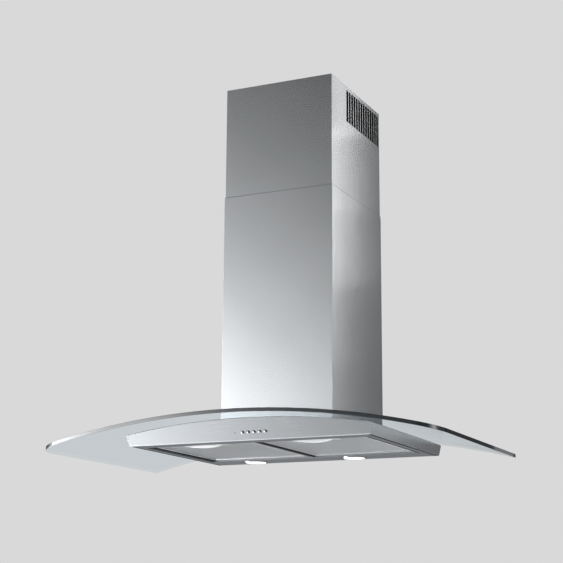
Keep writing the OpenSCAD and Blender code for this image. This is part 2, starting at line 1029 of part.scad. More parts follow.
module impeller() {
  r_in = impeller_r - blade_d;
  color([0.85, 0.85, 0.86])
    union() {
      difference() {
        union() {
          on_axis(-impeller_ring_t / 2)
            cylinder(r = impeller_r, h = impeller_ring_t);
          on_axis(0)
            cylinder(r = hub_r, h = hub_len);
        }
        on_axis(-impeller_ring_t)
          cylinder(r = shaft_r, h = hub_len + 2 * impeller_ring_t);
      }
      for (x = [-impeller_half, impeller_half - impeller_ring_t])
        on_axis(x)
          tube(impeller_r, r_in, impeller_ring_t);
      for (i = [0:blade_count - 1])
        on_axis(-impeller_half)
          rotate([0, 0, i * 360 / blade_count])
            translate([r_in + blade_d * 0.1, 0, 0])
              rotate([0, 0, 20])
                translate([0, -blade_t / 2, 0])
                  cube([blade_d * 0.8, blade_t, 2 * impeller_half]);
    }
}

module motor_shaft() {
  start = -motor_in - motor_len + shaft_blind;
  color([0.8, 0.8, 0.82])
    on_axis(start)
      cylinder(r = shaft_r, h = hub_len + 2 - start);
}

module motor() {
  color([0.25, 0.26, 0.28])
    difference() {
      union() {
        on_axis(-motor_in - motor_len)
          cylinder(r = motor_r, h = motor_len);
        on_axis(-plate_out - mount_h)
          cylinder(r = boss_r, h = plate_out + mount_h - motor_in - motor_len);
      }
      on_axis(-motor_in - motor_len + shaft_blind - run_clear)
        cylinder(r = shaft_r + run_clear, h = motor_len);
    }
}

module at_mounts() {
  for (a = [60, 180, 300])
    on_axis(-plate_out - mount_h)
      rotate([0, 0, a])
        translate([mount_circle_r, 0, 0])
          children();
}

module motor_mounts() {
  color([0.1, 0.1, 0.1])
    at_mounts()
      cylinder(r = mount_r, h = mount_h);
}

module motor_bracket() {
  color([0.6, 0.61, 0.62])
    on_axis(-plate_out - mount_h - arm_t)
      union() {
        cylinder(r = boss_r + 6, h = arm_t);
        for (a = [60, 180, 300])
          rotate([0, 0, a]) {
            translate([0, -arm_w / 2, 0])
              cube([mount_circle_r, arm_w, arm_t]);
            translate([mount_circle_r, 0, 0])
              cylinder(r = arm_w / 2, h = arm_t);
          }
      }
}

module capacitor() {
  x = chassis_w / 2 - 14 - capacitor_r;
  y = -10 - capacitor_r;
  color([0.9, 0.9, 0.91])
    translate([x, y, lid_top_z])
      union() {
        cylinder(r = capacitor_r, h = capacitor_len);
        for (side = [-1, 1])
          translate([side * 5 - 0.4, -3, capacitor_len])
            cube([0.8, 6, 9]);
      }
}

module terminal_box() {
  w = terminal_wall;
  x1 = terminal_x + terminal_w;
  y1 = terminal_y + terminal_d;
  color([0.15, 0.15, 0.16])
    difference() {
      block([terminal_x, terminal_y, lid_top_z], [x1, y1, lid_top_z + terminal_h]);
      block([terminal_x + w, terminal_y + w, lid_top_z + w],
            [x1 - w, y1 - w, lid_top_z + terminal_h + cut]);
    }
}

// Top face of the terminal cover, where the gland stands
module at_gland() {
  z = lid_top_z + terminal_h + cover_t;
  translate([terminal_x + terminal_w - gland_inset, terminal_y + terminal_d / 2, z])
    children();
}

module terminal_cover() {
  color([0.15, 0.15, 0.16])
    difference() {
      translate([terminal_x, terminal_y, lid_top_z + terminal_h])
        cube([terminal_w, terminal_d, cover_t]);
      at_gland()
        translate([0, 0, -cover_t - cut])
          cylinder(r = gland_bore_r + 2, h = cover_t + 2 * cut);
    }
}

module terminal_block() {
  gap = terminal_wall + 4;
  pitch = (terminal_d - 2 * gap) / block_count;
  x = terminal_x + terminal_w / 3;
  z = lid_top_z + terminal_wall;
  w = 18;
  h = 14;
  screw_r = 2;
  screw_depth = 9;
  color([0.92, 0.92, 0.9])
    difference() {
      translate([x, terminal_y + gap, z])
        cube([w, pitch * block_count, h]);
      for (i = [0:block_count - 1])
        translate([x + w / 2, terminal_y + gap + (i + 0.5) * pitch, z + h - screw_depth])
          cylinder(r = screw_r, h = screw_depth + cut);
    }
}

module cable_gland() {
  color([0.2, 0.2, 0.21])
    at_gland()
      difference() {
        union() {
          cylinder(r = gland_flange_r, h = gland_flange_t, $fn = 6);
          translate([0, 0, gland_flange_t])
            cylinder(r = gland_body_r, h = gland_body_len);
          translate([0, 0, -cover_t])
            cylinder(r = gland_bore_r + 2, h = cover_t);
        }
        translate([0, 0, -cover_t - cut])
          cylinder(r = gland_bore_r, h = cover_t + gland_flange_t + gland_body_len + 2 * cut);
      }
}

module outlet_collar() {
  color([0.13, 0.13, 0.14])
    translate([0, collar_y, lid_top_z])
      difference() {
        union() {
          tube(collar_r + collar_flange_w, collar_in_r, collar_flange_t);
          tube(collar_r, collar_in_r, collar_flange_t + collar_h);
          translate([0, 0, flap_z - lid_top_z - flap_t / 2 - side_clear - ledge_t])
            tube(collar_r, collar_in_r - ledge_w, ledge_t);
        }
        translate([-pin_half, 0, flap_z - lid_top_z])
          rotate([0, 90, 0])
            cylinder(r = flap_pin_r, h = 2 * pin_half);
      }
}

module flap_pin() {
  color([0.8, 0.8, 0.82])
    translate([-pin_half, collar_y, flap_z])
      rotate([0, 90, 0])
        cylinder(r = flap_pin_r, h = 2 * pin_half);
}

// Half disc towards the wall, with the even or the odd knuckles of the hinge
module flap(first) {
  start = -knuckle_count * knuckle_pitch / 2;
  inner_y = knuckle_r + side_clear;
  difference() {
    union() {
      intersection() {
        translate([0, 0, -flap_t / 2])
          cylinder(r = flap_r, h = flap_t);
        translate([-far, inner_y, -far / 2])
          cube([2 * far, far, far]);
      }
      for (i = [first:2:knuckle_count - 1])
        translate([start + i * knuckle_pitch + side_clear, 0, 0]) {
          rotate([0, 90, 0])
            cylinder(r = knuckle_r, h = knuckle_pitch - 2 * side_clear);
          translate([0, 0, -flap_t / 2])
            cube([knuckle_pitch - 2 * side_clear, inner_y + cut, flap_t]);
        }
    }
    translate([-far, 0, 0])
      rotate([0, 90, 0])
        cylinder(r = flap_pin_r + run_clear, h = 2 * far);
  }
}

module rear_flap() {
  color([0.2, 0.2, 0.21])
    translate([0, collar_y, flap_z])
      flap(0);
}

module front_flap() {
  color([0.2, 0.2, 0.21])
    translate([0, collar_y, flap_z])
      mirror([0, 1, 0])
        flap(1);
}

// A cover open at the back, with flanges that turn in there
module flue_cover(w, d, back_gap, z0, z1) {
  t = sheet_t;
  x = w / 2;
  difference() {
    block([-x, -d, z0], [x, -back_gap, z1]);
    block([-x + t, -d + t, z0 - cut], [x - t, -back_gap - t, z1 + cut]);
    block([-x + flue_flange, -back_gap - t - cut, z0 - cut], [x - flue_flange, -back_gap + cut, z1 + cut]);
  }
}

module lower_flue() {
  color([0.78, 0.78, 0.79])
    difference() {
      flue_cover(flue_w, flue_d, 0, rim_z, seam_z);
      under_arch(arch_r + side_clear);
    }
}

module upper_flue() {
  slot_z = flue_top_z - slot_drop - slot_h;
  color([0.66, 0.66, 0.67])
    difference() {
      flue_cover(upper_w, upper_d, upper_wall_gap, upper_z, flue_top_z);
      for (i = [0:slot_count - 1])
        translate([-far / 2, -slot_wall_gap - slot_w - i * slot_pitch, slot_z])
          cube([far, slot_w, slot_h]);
    }
}

// Bracket on the wall, with a tab inside each side of the upper flue
module upper_flue_bracket() {
  t = bracket_t;
  color([0.6, 0.61, 0.62])
    difference() {
      union() {
        block([-bracket_foot, -t, bracket_z], [bracket_foot, 0, bracket_z + bracket_h]);
        for (side = [0, 1])
          mirror([side, 0, 0]) {
            block([bracket_foot - t, -bracket_arm, bracket_z], [bracket_foot, 0, bracket_z + bracket_h]);
            block([bracket_foot - t, -bracket_arm, bracket_z],
                  [bracket_half, -bracket_arm + t, bracket_z + bracket_h]);
            block([bracket_half - t, -bracket_arm - bracket_tab, bracket_z],
                  [bracket_half, -bracket_arm + t, bracket_z + bracket_h]);
          }
      }
      for (side = [-1, 1])
        translate([side * bracket_span / 2, cut, bracket_z + bracket_h / 2])
          rotate([90, 0, 0])
            cylinder(r = bracket_hole_r, h = t + 2 * cut);
    }
}

glass_canopy();
glass_gasket();
neck_gasket();
chassis_saddle();
glass_bushes();
glass_fixings();
front_panel();
left_side_panel();
right_side_panel();
back_panel();
bottom_frame();
body_top_plate();
filter_divider();
wall_bumpers();
left_filter_frame();
left_filter_mesh();
left_filter_latch();
right_filter_frame();
right_filter_mesh();
right_filter_latch();
left_lamp_housing();
left_lamp_ring();
left_lamp_lens();
left_lamp_bulb();
right_lamp_housing();
right_lamp_ring();
right_lamp_lens();
right_lamp_bulb();
lamp_transformer();
stop_button();
light_button();
speed_1_button();
speed_2_button();
speed_3_button();
indicator_lens();
switch_block();
control_board();
chassis();
chassis_lid();
chassis_front();
scroll_wrap();
scroll_left_plate();
scroll_right_plate();
impeller();
motor_shaft();
motor();
motor_bracket();
motor_mounts();
capacitor();
terminal_box();
terminal_cover();
terminal_block();
cable_gland();
outlet_collar();
front_flap();
rear_flap();
flap_pin();
lower_flue();
upper_flue();
upper_flue_bracket();
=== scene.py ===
"""Looks of a wall-mounted chimney hood with a bent glass canopy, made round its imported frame."""

import json
import math

import bmesh
import bpy
from bpy.props import FloatProperty, FloatVectorProperty, IntProperty, PointerProperty
from mathutils import Matrix, Vector


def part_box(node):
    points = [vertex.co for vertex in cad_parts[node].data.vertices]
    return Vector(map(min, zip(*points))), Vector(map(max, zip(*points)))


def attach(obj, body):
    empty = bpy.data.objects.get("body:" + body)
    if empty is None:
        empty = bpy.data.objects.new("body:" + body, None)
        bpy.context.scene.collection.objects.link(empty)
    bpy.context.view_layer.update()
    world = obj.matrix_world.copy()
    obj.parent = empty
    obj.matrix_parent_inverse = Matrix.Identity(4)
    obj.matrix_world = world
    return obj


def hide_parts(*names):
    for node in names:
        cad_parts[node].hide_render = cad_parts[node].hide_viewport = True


bl_info = {
    "name": "Chimney hood with a glass canopy",
    "version": (1, 0, 0),
    "blender": (4, 5, 0),
    "location": "View3D > Sidebar > Hood",
    "description": "Models the visible pieces of a chimney hood and sets its studio",
    "category": "Object",
}

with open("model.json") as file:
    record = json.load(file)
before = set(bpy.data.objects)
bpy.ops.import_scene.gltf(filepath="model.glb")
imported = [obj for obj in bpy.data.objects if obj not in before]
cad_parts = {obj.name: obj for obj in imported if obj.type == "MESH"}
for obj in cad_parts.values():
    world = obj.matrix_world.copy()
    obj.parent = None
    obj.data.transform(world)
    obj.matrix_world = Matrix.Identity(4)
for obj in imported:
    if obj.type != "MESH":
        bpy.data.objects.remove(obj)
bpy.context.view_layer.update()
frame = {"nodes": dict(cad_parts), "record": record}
RECORD = frame["record"]
SLOT_OF = {part["node"]: part["material_slot"] for part in RECORD["subparts"]}
BODY_OF = {node: body for body, nodes in RECORD["behaviour"]["bodies"].items() for node in nodes}
# The corners of the neck opening in the glass lie this near the middle, between these two depths
NECK_REACH, NECK_FRONT, NECK_REAR = 0.104, -0.45, -0.03
NECK = [v.co for v in frame["nodes"]["glass_canopy"].data.vertices
        if abs(v.co.x) < NECK_REACH and NECK_FRONT < v.co.y < NECK_REAR]
SIDES = ("left", "right")
BUTTONS = ("stop_button", "light_button", "speed_1_button", "speed_2_button", "speed_3_button")

# Sizes of the solids, in metres, that the boxes of the frame don't give
SHEET = 0.001
BUSH_RADIUS = 0.005
FACE_LAYER = 0.002  # what lies this near the lowest face belongs to it
STEP_WIDE, STEP_DEEP = 0.0082, 0.0052  # shaded steps of the filter frames
PLATE_HALF = 0.054  # half the width of the latch plate
PLATE_DEPTH, FRAME_BAR = 0.044, 0.012
PANEL_LEAN = math.radians(20)

# Sizes of the detail that is only in the looks, in metres
NECK_MARGIN = 0.02
SHADE_SHEET_CLEARANCE = 0.00005
SHADE_SHEET_FRONT, SHADE_SHEET_BACK, SHADE_SHEET_TOP = 0.006, 0.004, 0.002  # margins of the shade sheets behind the vent slots, which are painted shade
BACK_LAYER = 0.0028  # from the lowest layer of a mesh pack to its pressed inner layers
LIP, LIP_CHAMFER, FLANGE = 0.001, 0.0004, 0.0016  # of the lamp bezels
BUTTON_DOME, INDICATOR_DOME, CAP_SKIRT = 0.0015, 0.0006, 0.003
SOFT_BOX_WIDE, SOFT_BOX_TALL = 0.05, 0.2

# Parts of a normal: a face of the glass edge rises less than the first, its front faces point past the second
UPRIGHT, FORWARD = 0.6, -0.25


class HoodSizes(bpy.types.PropertyGroup):
    """Sizes of the detail that the frame leaves to the looks"""

    sheet_round: FloatProperty(
        name="Sheet edge", description="Rounding of the edges of folded sheet",
        default=0.0003, unit="LENGTH")
    hem: FloatProperty(
        name="Hem", description="Height of the hem along the lower edge of the front panel",
        default=0.0022, unit="LENGTH")
    # The dark strip at the foot of each side panel is painted shadow, in place of the shadow gap there
    side_shadow: FloatProperty(
        name="Side shadow", description="Width of the dark joint at the foot of each side panel",
        default=0.006, unit="LENGTH")
    # The dark strip between a side rail and the filter is painted shadow, in place of the shaded gap there
    filter_shadow: FloatProperty(
        name="Filter shadow", description="Width of the dark joint between a side rail and the filter",
        default=0.005, unit="LENGTH")
    # The black sheet behind the vent slots is painted shade, in place of the dark inside of the flue
    shade_sheet_thickness: FloatProperty(
        name="Shade sheet thickness", description="Thickness of the black screen behind the vent slots",
        default=0.0003, unit="LENGTH")
    shade_sheet_height: FloatProperty(
        name="Shade sheet height", description="Height of the black screen behind the vent slots",
        default=0.085, unit="LENGTH")
    # The dark band round the top of the lower flue is painted shade along the seam with the upper flue
    cut_edge: FloatProperty(
        name="Seam shade", description="Height of the dark cut edge round the top of the lower flue",
        default=0.0009, unit="LENGTH")
    part_round: FloatProperty(
        name="Part edge", description="Rounding of the edges of moulded and cast parts",
        default=0.0008, unit="LENGTH")
    glass_thickness: FloatProperty(
        name="Glass thickness", description="Thickness of the canopy",
        default=0.008, unit="LENGTH")
    glass_corner: FloatProperty(
        name="Glass corner", description="Radius of the front corners of the canopy",
        default=0.045, unit="LENGTH")
    glass_polish: FloatProperty(
        name="Glass edge", description="Rounding of the polished edge of the canopy",
        default=0.0014, unit="LENGTH")
    glass_strip: FloatProperty(
        name="Glass strip", description="Width of the strips that follow the bend of the canopy",
        default=0.012, unit="LENGTH")
    neck_width: FloatProperty(
        name="Neck width", description="Width of the opening in the canopy under the flue",
        default=2 * max(corner.x for corner in NECK), unit="LENGTH")
    neck_back: FloatProperty(
        name="Neck back", description="Distance from the wall to that opening",
        default=-max(corner.y for corner in NECK), unit="LENGTH")
    neck_depth: FloatProperty(
        name="Neck depth", description="Depth of that opening",
        default=max(corner.y for corner in NECK) - min(corner.y for corner in NECK), unit="LENGTH")
    net_long: FloatProperty(
        name="Mesh length", description="Long way of a diamond of the filter mesh",
        default=0.0075, unit="LENGTH")
    net_short: FloatProperty(
        name="Mesh width", description="Short way of a diamond of the filter mesh",
        default=0.0045, unit="LENGTH")
    net_strand: FloatProperty(
        name="Mesh strand", description="Width of a strand of the filter mesh",
        default=0.0011, unit="LENGTH")
    net_thickness: FloatProperty(
        name="Mesh thickness", description="Thickness of one layer of the filter mesh",
        default=0.0006, unit="LENGTH")
    turn_steps: IntProperty(
        name="Steps of a turn", description="Sides of a small turned piece",
        default=40, min=12, max=128)


class HoodColours(bpy.types.PropertyGroup):
    """Base colours of the finishes"""

    panel: FloatVectorProperty(
        name="Panels", description="Brushed steel of the body", subtype="COLOR",
        default=(0.62, 0.635, 0.65), min=0, max=1)
    flue: FloatVectorProperty(
        name="Flues", description="Brushed steel of the flues", subtype="COLOR",
        default=(0.63, 0.64, 0.65), min=0, max=1)
    # The underside steel is the panel steel made darker: painted shade on the faces that look down
    underside: FloatVectorProperty(
        name="Underside", description="Steel of the underside", subtype="COLOR",
        default=(0.42, 0.43, 0.445), min=0, max=1)
    glass: FloatVectorProperty(
        name="Glass", description="Tint of the canopy", subtype="COLOR",
        default=(0.8, 0.855, 0.885), min=0, max=1)
    glass_edge: FloatVectorProperty(
        name="Glass edge", description="Tone of the canopy's polished edge", subtype="COLOR",
        default=(0.012, 0.017, 0.02), min=0, max=1)
    seal: FloatVectorProperty(
        name="Seals", description="Black rubber", subtype="COLOR",
        default=(0.018, 0.018, 0.02), min=0, max=1)
    aluminium: FloatVectorProperty(
        name="Aluminium", description="Filter frames and mesh", subtype="COLOR",
        default=(0.74, 0.75, 0.76), min=0, max=1)
    pull: FloatVectorProperty(
        name="Pulls", description="Handles of the filter latches", subtype="COLOR",
        default=(0.92, 0.92, 0.92), min=0, max=1)
    zinc: FloatVectorProperty(
        name="Zinc", description="Galvanised sheet inside the hood", subtype="COLOR",
        default=(0.56, 0.58, 0.6), min=0, max=1)
    lamp: FloatVectorProperty(
        name="Lamp light", description="Colour of the lit lamp glass", subtype="COLOR",
        default=(1.0, 0.98, 0.94), min=0, max=1)


class HoodStudio(bpy.types.PropertyGroup):
    """Camera, backdrop and light"""

    camera_place: FloatVectorProperty(
        name="Camera", description="Place of the camera", subtype="TRANSLATION", unit="LENGTH",
        default=(1.3051, -3.0279, -0.6869))
    camera_turn: FloatProperty(
        name="Turn", description="Turn of the camera from straight at the wall",
        default=math.radians(25.313), unit="ROTATION")
    camera_rise: FloatProperty(
        name="Rise", description="Angle by which the camera looks up",
        default=math.radians(13.442), unit="ROTATION")
    camera_roll: FloatProperty(
        name="Roll", description="Roll of the camera",
        default=math.radians(0.364), unit="ROTATION")
    lens: FloatProperty(
        name="Lens", description="Focal length for a 36 mm frame", default=90.44, unit="CAMERA")
    floor_drop: FloatProperty(
        name="Floor", description="Depth of the floor below the hanging holes",
        default=3.9, unit="LENGTH")
    backdrop: FloatProperty(
        name="Backdrop", description="Brightness of the plain backdrop", default=0.694)


def sizes():
    return bpy.context.scene.hood_sizes


def colours():
    return bpy.context.scene.hood_colours


def studio():
    return bpy.context.scene.hood_studio


# Finishes

class Finish:
    """A material whose Principled shader is fed by patterns on Object coordinates."""

    def __init__(self, name, **constants):
        self.material = bpy.data.materials.new(name)
        self.material.use_nodes = True
        self.tree = self.material.node_tree
        self.shader = self.tree.nodes["Principled BSDF"]
        for socket, value in constants.items():
            self.shader.inputs[socket.replace("_", " ")].default_value = value

    def node(self, kind, inputs=None, **settings):
        made = self.tree.nodes.new(kind)
        for key, value in settings.items():
            setattr(made, key, value)
        for socket, value in (inputs or {}).items():
            if isinstance(value, bpy.types.NodeSocket):
                self.tree.links.new(value, made.inputs[socket])
            else:
                made.inputs[socket].default_value = value
        return made

    def feed(self, socket, value):
        self.tree.links.new(value, self.shader.inputs[socket])

    def place(self, scale):
        """Object coordinates, stretched by a scale for each axis."""
        coordinates = self.node("ShaderNodeTexCoord")
        return self.node("ShaderNodeMapping", {"Vector": coordinates.outputs["Object"], "Scale": scale}
                         ).outputs["Vector"]

    def noise(self, scale, detail=2.0, roughness=0.5):
        texture = self.node("ShaderNodeTexNoise", {"Vector": self.place(scale), "Scale": 1.0,
                                                   "Detail": detail, "Roughness": roughness})
        return texture.outputs["Fac"]

    def cells(self, scale):
        texture = self.node("ShaderNodeTexVoronoi", {"Vector": self.place(scale), "Scale": 1.0})
        return texture.outputs["Color"]

    def ranged(self, value, low, high):
        made = self.node("ShaderNodeMapRange", {"Value": value, "To Min": low, "To Max": high})
        return made.outputs["Result"]

    def sum(self, first, second):
        return self.node("ShaderNodeMath", {0: first, 1: second}, operation="ADD").outputs["Value"]

    def mixed(self, factor, first, second):
        made = self.node("ShaderNodeMix", {"Factor": factor}, data_type="RGBA")
        made.inputs["A"].default_value = (*first, 1.0)
        made.inputs["B"].default_value = (*second, 1.0)
        return made.outputs["Result"]

    def bump(self, height, strength, distance):
        made = self.node("ShaderNodeBump", {"Height": height, "Strength": strength, "Distance": distance})
        self.feed("Normal", made.outputs["Normal"])

    def clear_inside(self, tint):
        """Lets the light through the back of the faces, in a tint."""
        clear = self.node("ShaderNodeBsdfTransparent", {"Color": tint})
        choice = self.node("ShaderNodeMixShader", {
            "Fac": self.node("ShaderNodeNewGeometry").outputs["Backfacing"],
            1: self.shader.outputs["BSDF"], 2: clear.outputs["BSDF"]})
        self.tree.links.new(choice.outputs["Shader"], self.tree.nodes["Material Output"].inputs["Surface"])


def shade(colour, factor):
    return tuple(min(1.0, part * factor) for part in colour)


def stretched(along, across, length):
    """Scales of a pattern with lines along one axis."""
    return tuple(length if axis == along else across for axis in "XYZ")


def brushed(name, colour, roughness, along, spread=0.02, anisotropic=0.0, **constants):
    """Steel brushed along one axis, with fine scratches, a rolled wave and faint smudges."""
    finish = Finish(name, Metallic=1.0, Anisotropic=anisotropic, **constants)
    scratches = finish.noise(stretched(along, 2600, 9), detail=3, roughness=0.6)
    smudges = finish.noise((7, 7, 7), detail=3)
    wave = finish.noise(stretched(along, 9, 3), detail=1)
    rough = finish.sum(finish.ranged(scratches, roughness - spread / 2, roughness + spread / 2),
                       finish.ranged(smudges, -0.01, 0.01))
    finish.feed("Roughness", rough)
    finish.feed("Base Color", finish.mixed(smudges, shade(colour, 0.985), shade(colour, 1.015)))
    finish.bump(wave, 0.05, 0.0006)
    return finish.material


def galvanised(name, colour, roughness=0.38):
    """Zinc-coated sheet with its grey spangles."""
    finish = Finish(name, Metallic=1.0)
    spangles = finish.cells((75, 75, 75))
    finish.feed("Base Color", finish.mixed(spangles, shade(colour, 0.88), shade(colour, 1.1)))
    finish.feed("Roughness", finish.ranged(spangles, roughness - 0.06, roughness + 0.08))
    finish.bump(finish.noise((160, 160, 160)), 0.04, 0.0001)
    return finish.material


def satin_metal(name, colour, roughness, grain=900):
    """Rolled or cast metal with an even grain."""
    finish = Finish(name, Metallic=1.0)
    grains = finish.noise((grain,) * 3, detail=2)
    stains = finish.noise((25, 25, 25), detail=3)
    finish.feed("Base Color", finish.mixed(stains, shade(colour, 0.95), shade(colour, 1.03)))
    finish.feed("Roughness", finish.ranged(grains, roughness - 0.05, roughness + 0.05))
    finish.bump(grains, 0.08, 0.00005)
    return finish.material


def moulded(name, colour, roughness=0.45, grain=1400, **constants):
    """Moulded plastic or rubber with a fine skin."""
    finish = Finish(name, **constants)
    skin = finish.noise((grain,) * 3, detail=2)
    tone = finish.noise((30, 30, 30), detail=2)
    finish.feed("Base Color", finish.mixed(tone, shade(colour, 0.94), shade(colour, 1.06)))
    finish.feed("Roughness", finish.ranged(skin, roughness - 0.05, roughness + 0.06))
    finish.bump(skin, 0.1, 0.00006)
    return finish.material


def clear_glass(name, tint):
    """Clear float glass, with the faint wave that bending leaves."""
    finish = Finish(name, Transmission_Weight=1.0, IOR=1.004, Roughness=0.0)
    wave = finish.noise((6, 6, 6), detail=1)
    finish.feed("Base Color", finish.mixed(wave, shade(tint, 0.995), tint))
    finish.bump(wave, 0.02, 0.0005)
    return finish.material


def glass_edge(name, colour, ior):
    """Polished edge of the canopy: dark and glossy from outside, clear through the sheet."""
    finish = Finish(name, IOR=ior, Roughness=0.06)
    marks = finish.noise((40, 40, 900), detail=2)
    finish.feed("Base Color", finish.mixed(marks, colour, shade(colour, 2.2)))
    finish.feed("Roughness", finish.ranged(marks, 0.03, 0.09))
    finish.bump(marks, 0.05, 0.0001)
    finish.clear_inside((0.93, 0.95, 0.96, 1.0))
    return finish.material


def lit_glass(name, colour, strength):
    """Frosted lamp glass with its light on."""
    finish = Finish(name, Emission_Strength=strength, Roughness=0.4)
    frost = finish.noise((700, 700, 700), detail=2)
    finish.feed("Base Color", finish.mixed(frost, shade(colour, 0.9), colour))
    finish.feed("Emission Color", finish.mixed(frost, shade(colour, 0.94), colour))
    finish.bump(frost, 0.1, 0.0001)
    return finish.material


def printed_board(name):
    """Green circuit board with paler tracks."""
    finish = Finish(name, Roughness=0.4)
    tracks = finish.node("ShaderNodeTexBrick", {"Vector": finish.place((180, 180, 180)), "Scale": 1.0,
                                                "Mortar Size": 0.08})
    finish.feed("Base Color", finish.mixed(tracks.outputs["Fac"], (0.02, 0.13, 0.05), (0.1, 0.3, 0.12)))
    finish.bump(tracks.outputs["Fac"], 0.2, 0.00005)
    return finish.material


FINISHES = {
    "stainless_panel": lambda c: brushed("Panel steel", c.panel, 0.27, "X"),
    "stainless_flue": lambda c: brushed("Flue steel", c.flue, 0.25, "Z", anisotropic=0.5),
    # A darker copy of the panel steel, its reflections dulled further by the grey specular tint: painted
    # shade on the underside
    "stainless_underside": lambda c: brushed("Underside steel", c.underside, 0.3, "X",
                                           Specular_Tint=(0.5, 0.51, 0.53, 1.0)),
    "canopy_glass": lambda c: clear_glass("Canopy glass", c.glass),
    "black_seal": lambda c: moulded("Black seal", c.seal, 0.6),
    "clear_seal": lambda c: moulded("Clear seal", (0.5, 0.52, 0.53), 0.4),
    "nylon": lambda c: moulded("Nylon", (0.8, 0.8, 0.77), 0.5),
    "zinc_sheet": lambda c: galvanised("Galvanised sheet", c.zinc),
    "zinc_fixing": lambda c: satin_metal("Bright zinc", (0.66, 0.67, 0.68), 0.28),
    "filter_frame": lambda c: brushed("Filter frame", c.aluminium, 0.32, "Y"),
    "filter_mesh": lambda c: satin_metal("Filter mesh", c.aluminium, 0.3),
    "pull": lambda c: moulded("Latch pull", c.pull, 0.3),
    "divider": lambda c: moulded("Black divider", (0.03, 0.031, 0.033), 0.35),
    # Painted shade along the seam at the top of the lower flue, as a dark satin band
    "cut_edge": lambda c: satin_metal("Cut edge of sheet", (0.06, 0.062, 0.065), 0.45),
    # Painted shadow: a near-black, rough finish with a low IOR so it stays black at grazing angles, put on
    # the strips, steps and sheets where shade falls
    "dark_joint": lambda c: moulded("Dark joint", (0.008, 0.008, 0.009), 0.85, IOR=1.12),
    "lamp_bezel": lambda c: moulded("Lamp bezel", (0.9, 0.9, 0.89), 0.25),
    "lamp_glass": lambda c: lit_glass("Lamp glass", c.lamp, 1.6),
    "lamp_shell": lambda c: satin_metal("Lamp shell", (0.72, 0.72, 0.73), 0.35),
    "lamp_bulb": lambda c: lit_glass("Lamp bulb", c.lamp, 4.0),
    "transformer_case": lambda c: moulded("Transformer case", (0.8, 0.8, 0.78), 0.45),
    "button": lambda c: satin_metal("Polished button", (0.3, 0.305, 0.31), 0.07, grain=2500),
    "indicator": lambda c: moulded("Indicator", (0.35, 0.3, 0.3), 0.2),
    "switch_plastic": lambda c: moulded("Switch plastic", (0.015, 0.015, 0.017), 0.4),
    "circuit_board": lambda c: printed_board("Circuit board"),
    "impeller_sheet": lambda c: galvanised("Impeller sheet", shade(c.zinc, 1.1), 0.3),
    "shaft_steel": lambda c: satin_metal("Ground steel", (0.72, 0.72, 0.74), 0.18),
    "motor_case": lambda c: moulded("Motor case", (0.06, 0.065, 0.07), 0.4),
    "capacitor_case": lambda c: moulded("Capacitor case", (0.78, 0.78, 0.79), 0.35),
    "black_plastic": lambda c: moulded("Black plastic", (0.02, 0.02, 0.022), 0.42),
}
made_finishes = {}


def finish_of(slot):
    """The material of a slot of the record, made once."""
    if slot not in made_finishes:
        made_finishes[slot] = FINISHES[slot](colours())
    return made_finishes[slot]


# Modelling

def deselect():
    if bpy.context.object and bpy.context.object.mode != "OBJECT":
        bpy.ops.object.mode_set(mode="OBJECT")
    bpy.ops.object.select_all(action="DESELECT")


def hold(piece):
    """Makes a piece the only one that is selected."""
    deselect()
    piece.select_set(True)
    bpy.context.view_layer.objects.active = piece
    return piece


def settle(piece):
    """Puts the place, turn and size of a piece into its mesh."""
    hold(piece)
    bpy.ops.object.transform_apply(location=True, rotation=True, scale=True)
    return piece


def modify(piece, kind, **settings):
    """Adds a modifier and applies it."""
    hold(piece)
    modifier = piece.modifiers.new(kind.title(), kind)
    for key, value in settings.items():
        setattr(modifier, key, value)
    bpy.ops.object.modifier_apply(modifier=modifier.name)
    return piece


def smooth(piece, angle=32.0):
    hold(piece)
    bpy.ops.object.shade_smooth_by_angle(angle=math.radians(angle))
    return piece


def rounded(piece, width, segments=2, angle=32.0):
    """Rounds the edges that turn by more than an angle and leaves the faces between them flat."""
    modify(piece, "BEVEL", width=width, segments=segments, limit_method="ANGLE",
           angle_limit=math.radians(angle), use_clamp_overlap=True)
    smooth(piece, angle)
    return modify(piece, "WEIGHTED_NORMAL", mode="FACE_AREA", weight=100, keep_sharp=True)


def select_where(piece, kind, test):
    """Selects in edit mode the faces, edges or vertices of a piece that pass a test."""
    mesh = bmesh.from_edit_mesh(piece.data)
    for element in [*mesh.faces, *mesh.edges, *mesh.verts]:
        element.select = False
    bpy.context.tool_settings.mesh_select_mode = (kind == "verts", kind == "edges", kind == "faces")
    for element in getattr(mesh, kind):
        if test(element):
            element.select_set(True)
    mesh.select_flush_mode()
    bmesh.update_edit_mesh(piece.data)


def edit(piece):
    hold(piece)
    bpy.context.tool_settings.mesh_select_mode = (True, False, False)
    bpy.ops.object.mode_set(mode="EDIT")
    bpy.ops.mesh.select_all(action="SELECT")


def stop_edit():
    bpy.ops.object.mode_set(mode="OBJECT")


def block(name, low, high):
    """A box between two corners, to be shaped further."""
    deselect()
    low, high = Vector(low), Vector(high)
    bpy.ops.mesh.primitive_cube_add(size=1.0, location=(low + high) / 2)
    piece = bpy.context.object
    piece.name = piece.data.name = name
    piece.scale = high - low
    return settle(piece)


def tidied_copy(name, node):
    """The mesh of a node of the frame as a piece of its own, its triangles joined to plain faces."""
    piece = bpy.data.objects.new(name, frame["nodes"][node].data.copy())
    bpy.context.scene.collection.objects.link(piece)
    edit(piece)
    bpy.ops.mesh.customdata_custom_splitnormals_clear()
    bpy.ops.mesh.remove_doubles(threshold=0.00001)
    bpy.ops.mesh.dissolve_limited(angle_limit=math.radians(0.3))
    stop_edit()
    return piece


